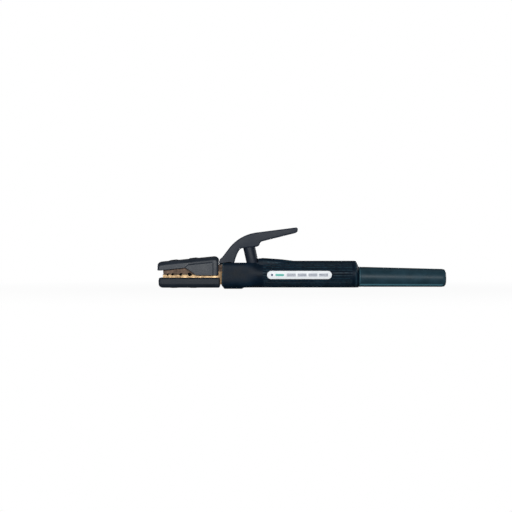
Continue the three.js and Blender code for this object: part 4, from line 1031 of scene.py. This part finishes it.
def upper_cover_rings():
    """Rings of the upper cover, skirts and screw domes included."""
    x = stations(NOSE_X, HEAD_REAR, 0.55, 5.6)
    inset = end_inset(x, NOSE_X, HEAD_REAR, 3.8, 0.4, 5.6, 1.0)
    curl = 0.25 * inset * (x < JAW_FRONT)
    inset = inset + 2.7 * np.clip(1 - (HEAD_REAR - x) / 5.4, 0, 1) ** 1.7
    narrow = end_inset(x, NOSE_X, HEAD_REAR, 1.9, 2.4, 5.6, 4.2)
    bar_bottom = head_top(x) - BAR_HEIGHT
    skirt_bottom = CLAMP_Z - 1.4
    run = np.clip((x - SKIRT_FRONT + 0.5) / 12.3, 0, 1)
    eased = np.where(run < 0.85, run, 0.85 + 0.15 * smooth((run - 0.85) / 0.15))
    bottom = bar_bottom + (skirt_bottom - bar_bottom) * eased + 0.5 * smooth((x - HEAD_REAR + 1.2) / 1.2)
    top, top_corner = head_top(x) - inset, 5.8 - inset * 0.5
    section = box_ring(COVER_HALF_WIDTH - narrow, bottom + curl, top, top_corner, 0.7)
    y, z = section[..., 0], section[..., 1]
    x = np.broadcast_to(x[:, None], y.shape)
    slant = (x - SKIRT_FRONT + 2) * 0.62 - (z - head_top(SKIRT_FRONT) + 9.1) * 0.78
    below = head_top(x) - 5.6 - z
    ahead = HEAD_REAR - 5.2 - x
    inside = np.minimum(np.minimum(slant, below), ahead)
    side = smooth((np.abs(y) - 10.5) / 1.0)
    y = y + np.sign(y) * SKIRT_PROUD * smooth(inside / 2.4) * side
    z = z + UPPER_DOME * np.where(z > head_top(x) - 1.4, dome(x, y, 2 * HEAD_SLOPE), 0)
    top_edge = np.exp(-(((z - head_top(x) + 1.2) / 1.5) ** 2)) * smooth((np.abs(y) - 8.5) / 2)
    proud_edge = np.exp(-(((inside - 1.2) / 0.8) ** 2)) * side
    ends = np.clip(inset / 1.3, 0, 1)[:, None]
    rub = np.clip(0.4 * top_edge + 0.25 * proud_edge + 0.5 * ends, 0, 1)
    return np.stack([x, y, z], -1), {"rub": rub}


def sloped_room(half_width, bottom, drop):
    """The cutter for the jaw: a channel whose roof keeps a distance below the sloping top."""
    x = np.array([JAW_FRONT - 0.9, HEAD_REAR + 2])
    y = np.array([half_width, half_width, -half_width, -half_width])
    roof = head_top(x) - drop
    z = np.stack([np.full(2, bottom), roof, roof, np.full(2, bottom)], -1)
    x, y = np.broadcast_to(x[:, None], z.shape), np.broadcast_to(y, z.shape)
    return loft("cutter", np.stack([x, y, z], -1))


upper_cover = loft("upper_cover", *upper_cover_rings())
rooms = [sloped_room(7.3, -20, 3.4), block(JAW_FRONT - 0.9, HEAD_REAR + 2, -8.8, 8.8, -20, 0.8)]
cut(upper_cover, *rooms, *[head_room(upper_seat(end), HEAD_UP) for end in ENDS])
dress(shaded(upper_cover, 36), COVER, LEVER, "cover_plastic", "upper_insulator")

# %% [markdown]
# The lower cover is a tray: the same rings, with the large rounding below and the rim on top.

# %% Lower cover
tray_low, tray_high = bench_box("lower_insulator")
TRAY_BOTTOM = -15.6


def lower_cover_rings():
    """Rings of the tray. Its front end curls up, and low domes stand round the screws underneath."""
    start, end = tray_low[0], tray_high[0]
    x = stations(start, end, 0.55, 5.0)
    inset = end_inset(x, start, end, 1.6, 0.8, 4.5, 1.8)
    lift = end_inset(x, start, end, 4.0, 1.4, 5.0, 1.8)
    rim = tray_high[2] - end_inset(x, start, end, 1.8, 0.9, 2.6, 1.6)
    section = box_ring(COVER_HALF_WIDTH - inset, TRAY_BOTTOM + lift, rim, 2.0, 4.8 - inset * 0.5)
    y, z = section[..., 0], section[..., 1]
    x = np.broadcast_to(x[:, None], y.shape)
    z = z - LOWER_DOME * np.where(z < TRAY_BOTTOM + 1.2, dome(x, y), 0)
    low_edge = np.exp(-(((z - TRAY_BOTTOM - 1.2) / 1.4) ** 2)) * smooth((np.abs(y) - 8.5) / 2)
    ends = np.clip(inset / 0.8, 0, 1)[:, None]
    return np.stack([x, y, z], -1), {"rub": np.clip(0.4 * low_edge + 0.5 * ends, 0, 1)}


tray = loft("lower_cover", *lower_cover_rings())
room = block(JAW_FRONT - 0.3, HEAD_REAR + 6, -8.5, 8.5, -11.6, 10, 0.01)
cut(tray, room, *[head_room(lower_seat(end), DOWN) for end in ENDS])
dress(shaded(tray, 36), TRAY, HOLDER, "cover_plastic", "lower_insulator")

# %% [markdown]
# ## The castings
#
# The jaws are the CAD's own shapes, because their electrode grooves and bores are exact there. A copy of
# each is merged, its flat triangles become whole faces, and a Bevel modifier breaks its sharp edges.

# %% Jaws from the CAD
# Each groove: its place behind the jaws' front, its radius, and its slant in degrees.
ROD_SEATS = [(5.5, 1.3, 30), (10.9, 1.3, 30), (20.5, 1.7, 25), (31.2, 2.1, -28)]
SEAT_SIDE = 8.2  # the places are measured this far from the middle, on the near side
HINGE_TOP, NECK_BOTTOM = 2.8, 3.4
EDGE_BREAK = 0.3


def groove_painted_shade(centres):
    """1 for faces whose middle lies in a rod groove, 0 elsewhere: these faces are painted black as shade. A
    groove is a slanted cylinder, so the test is the distance from its axis: hypot((x - x0 - y tan s) cos s,
    z - z0) against its radius."""
    x, y, z = (centres / MM - PLACE).T
    found = np.zeros(len(centres))
    for along, radius, slant in ROD_SEATS:
        lean = tan(radians(slant))
        middle = JAW_FRONT + along + (SEAT_SIDE + y) * lean
        away = np.hypot((x - middle) * np.cos(radians(slant)), z - CLAMP_Z)
        found = np.maximum(found, away < radius * 1.03)
    return found


def softened(name, node_name, moves):
    """A copy of a CAD node with its edges broken by a bevel. Each (axis, level, move) shifts the faces that
    lie at that level of x (0) or z (2), so that no line of light is left between jaws, hinge and covers."""
    mesh = frame["nodes"][node_name].data.copy()
    solid = bmesh.new()
    solid.from_mesh(mesh)
    bmesh.ops.remove_doubles(solid, verts=solid.verts, dist=2e-6)
    bmesh.ops.dissolve_limit(solid, angle_limit=radians(1), verts=solid.verts, edges=solid.edges)
    solid.to_mesh(mesh)
    solid.free()
    corners = np.zeros(3 * len(mesh.vertices), np.float32)
    mesh.vertices.foreach_get("co", corners)
    corners = corners.reshape(-1, 3)
    bench = corners / MM - PLACE
    for axis, level, move in moves:
        corners[:, axis] += MM * move * (np.abs(bench[:, axis] - level) < 0.03)
    mesh.vertices.foreach_set("co", corners.ravel())
    centres = np.zeros(3 * len(mesh.polygons), np.float32)
    mesh.polygons.foreach_get("center", centres)
    # painted shade: the faces in the rod grooves are marked to be painted black
    groove_shade = mesh.attributes.new("painted_shade", "FLOAT", "FACE")
    groove_shade.data.foreach_set("value", groove_painted_shade(centres.reshape(-1, 3)).astype(np.float32))
    made = shown(name, mesh)
    edge = made.modifiers.new("broken_edges", "BEVEL")
    edge.width, edge.segments = EDGE_BREAK * MM, 2
    edge.limit_method, edge.angle_limit = "ANGLE", radians(35)
    return shaded(made, 40)


LOWER_MOVES = [(2, CLAMP_Z - 0.2, 0.19), (2, HINGE_TOP, 0.28), (0, HEAD_REAR + 1, -0.9)]
UPPER_MOVES = [(2, CLAMP_Z + 0.2, -0.19), (2, NECK_BOTTOM, -0.27)]
lower_jaw = softened("lower_jaw_casting", "lower_jaw", LOWER_MOVES)
dress(lower_jaw, BRASS, HOLDER, "jaw_brass", "lower_jaw")
upper_jaw = softened("upper_jaw_casting", "upper_jaw", UPPER_MOVES)
dress(upper_jaw, PAINTED_SHADE_BRASS, LEVER, "dark_brass", "upper_jaw")

# %% [markdown]
# ## What stays as the CAD made it
#
# Pins, washers, the socket and its screws are small or lie inside. Their shapes are right, so only their
# finish changes.

# %% Finishes of the CAD nodes that show
KEPT = {
    "pivot_pin": STEEL, "pivot_snap_ring": STEEL, "pivot_washer_left": FIBRE, "pivot_washer_right": FIBRE,
    "spring_seat": STEEL, "spring_cup": STEEL, "cable_socket": BRASS, "socket_cross_pin": STEEL,
    "cable_pressure_plate": COPPER, "socket_screw_front": STEEL, "socket_screw_rear": STEEL,
}
for name, material in KEPT.items():
    mesh = frame["nodes"][name].data
    mesh.materials.clear()
    mesh.materials.append(material)
print("kept nodes:", len(KEPT))

# %% [markdown]
# ## Floor, light and camera
#
# The tool lies on a white sheet in even light, and the light comes mostly from the front. The floor is
# matt white and glows faintly, so that shadows stay pale.

# %% Floor and world
FLOOR_REACH, FLOOR_Z = 1.5, -0.0004
floor_mesh = bpy.data.meshes.new("floor")
corners = [(x * FLOOR_REACH, y * FLOOR_REACH, FLOOR_Z) for x, y in ((-1, -1), (1, -1), (1, 1), (-1, 1))]
floor_mesh.from_pydata(corners, [], [(0, 1, 2, 3)])
floor = shown("floor", floor_mesh)
white, tree, shader = new_material("floor_white")
seen = node(tree, "ShaderNodeLightPath").outputs["Is Camera Ray"]
paper = noise(tree, surface_point(tree), 40.0, 3.0)
shader.inputs["Roughness"].default_value = 0.9
shader.inputs["Specular IOR Level"].default_value = 0.0
sheet = tint(tree, paper, colour("f3f3f4"), colour("f8f8f8"))
feed(shader, Base_Color=tint(tree, seen, colour("b2b4b6"), sheet))
glow = node(tree, "ShaderNodeEmission", {"Color": (1, 1, 1, 1), "Strength": 1.0})
away = node(tree, "ShaderNodeVectorMath", {0: surface_point(tree)}, operation="LENGTH").outputs["Value"]
share = times(tree, seen, stretch(tree, away, 0.2, 0.6, 0.95, 1.0))
mixed = node(tree, "ShaderNodeMixShader", {0: share, 1: shader.outputs[0], 2: glow.outputs[0]})
out = next(n for n in tree.nodes if n.type == "OUTPUT_MATERIAL")
tree.links.new(mixed.outputs[0], out.inputs["Surface"])
floor.data.materials.append(white)

world = bpy.data.worlds.new("studio")
world.use_nodes = True
bpy.context.scene.world = world
tree = world.node_tree
tree.nodes.clear()
seen = node(tree, "ShaderNodeLightPath").outputs["Is Camera Ray"]
soft = node(tree, "ShaderNodeBackground", {"Color": (0.93, 0.96, 1.0, 1), "Strength": 0.07})
bright = node(tree, "ShaderNodeBackground", {"Color": (1, 1, 1, 1), "Strength": 1.0})
mixed = node(tree, "ShaderNodeMixShader", {0: seen, 1: soft.outputs[0], 2: bright.outputs[0]})
tree.links.new(mixed.outputs[0], node(tree, "ShaderNodeOutputWorld").inputs["Surface"])

# %% Lights
COOL = (0.95, 0.98, 1.0)


def softbox(name, place, aim_height, width, height, power):
    """A rectangular area light that faces the middle of the scene at a height."""
    data = bpy.data.lights.new(name, "AREA")
    data.shape, data.size, data.size_y = "RECTANGLE", width, height
    data.energy, data.color = power, COOL
    lamp = shown(name, data)
    lamp.location = place
    lamp.rotation_euler = (Vector((0, 0, aim_height)) - Vector(place)).to_track_quat("-Z", "Y").to_euler()


softbox("front_softbox", (-0.15, -1.45, 0.2), 0.03, 1.7, 0.38, 19.5)
softbox("left_softbox", (-1.2, 0.75, 0.2), 0.02, 0.8, 0.4, 5)
softbox("right_softbox", (1.3, 0.75, 0.2), 0.02, 0.8, 0.4, 5)
softbox("rear_softbox", (0.0, 1.45, 0.1), 0.03, 1.6, 0.18, 9)
softbox("top_softbox", (0.0, 0.15, 1.3), 0.02, 1.2, 0.4, 0.8)
print("lights:", [thing.name for thing in bpy.data.lights])

# %% [markdown]
# The camera is far off with a long lens, level with the tool, so that its lines stay nearly parallel.

# %% Camera
SEEN_WIDTH, LENS, SENSOR = 0.5888, 100.0, 36.0
AIM_X, AIM_Z, NEAR_SIDE = -0.05295, 0.0379, 0.012  # the width is seen this far in front of the middle
camera_data = bpy.data.cameras.new("camera")
camera_data.lens, camera_data.sensor_width = LENS, SENSOR
camera_data.clip_end = 50
camera = shown("camera", camera_data)
camera.location = (AIM_X, -SEEN_WIDTH * LENS / SENSOR - NEAR_SIDE, AIM_Z)
camera.rotation_euler = (radians(90), 0, 0)
bpy.context.scene.camera = camera
bpy.context.scene.view_settings.view_transform = "Standard"
bpy.context.scene.view_settings.look = "None"
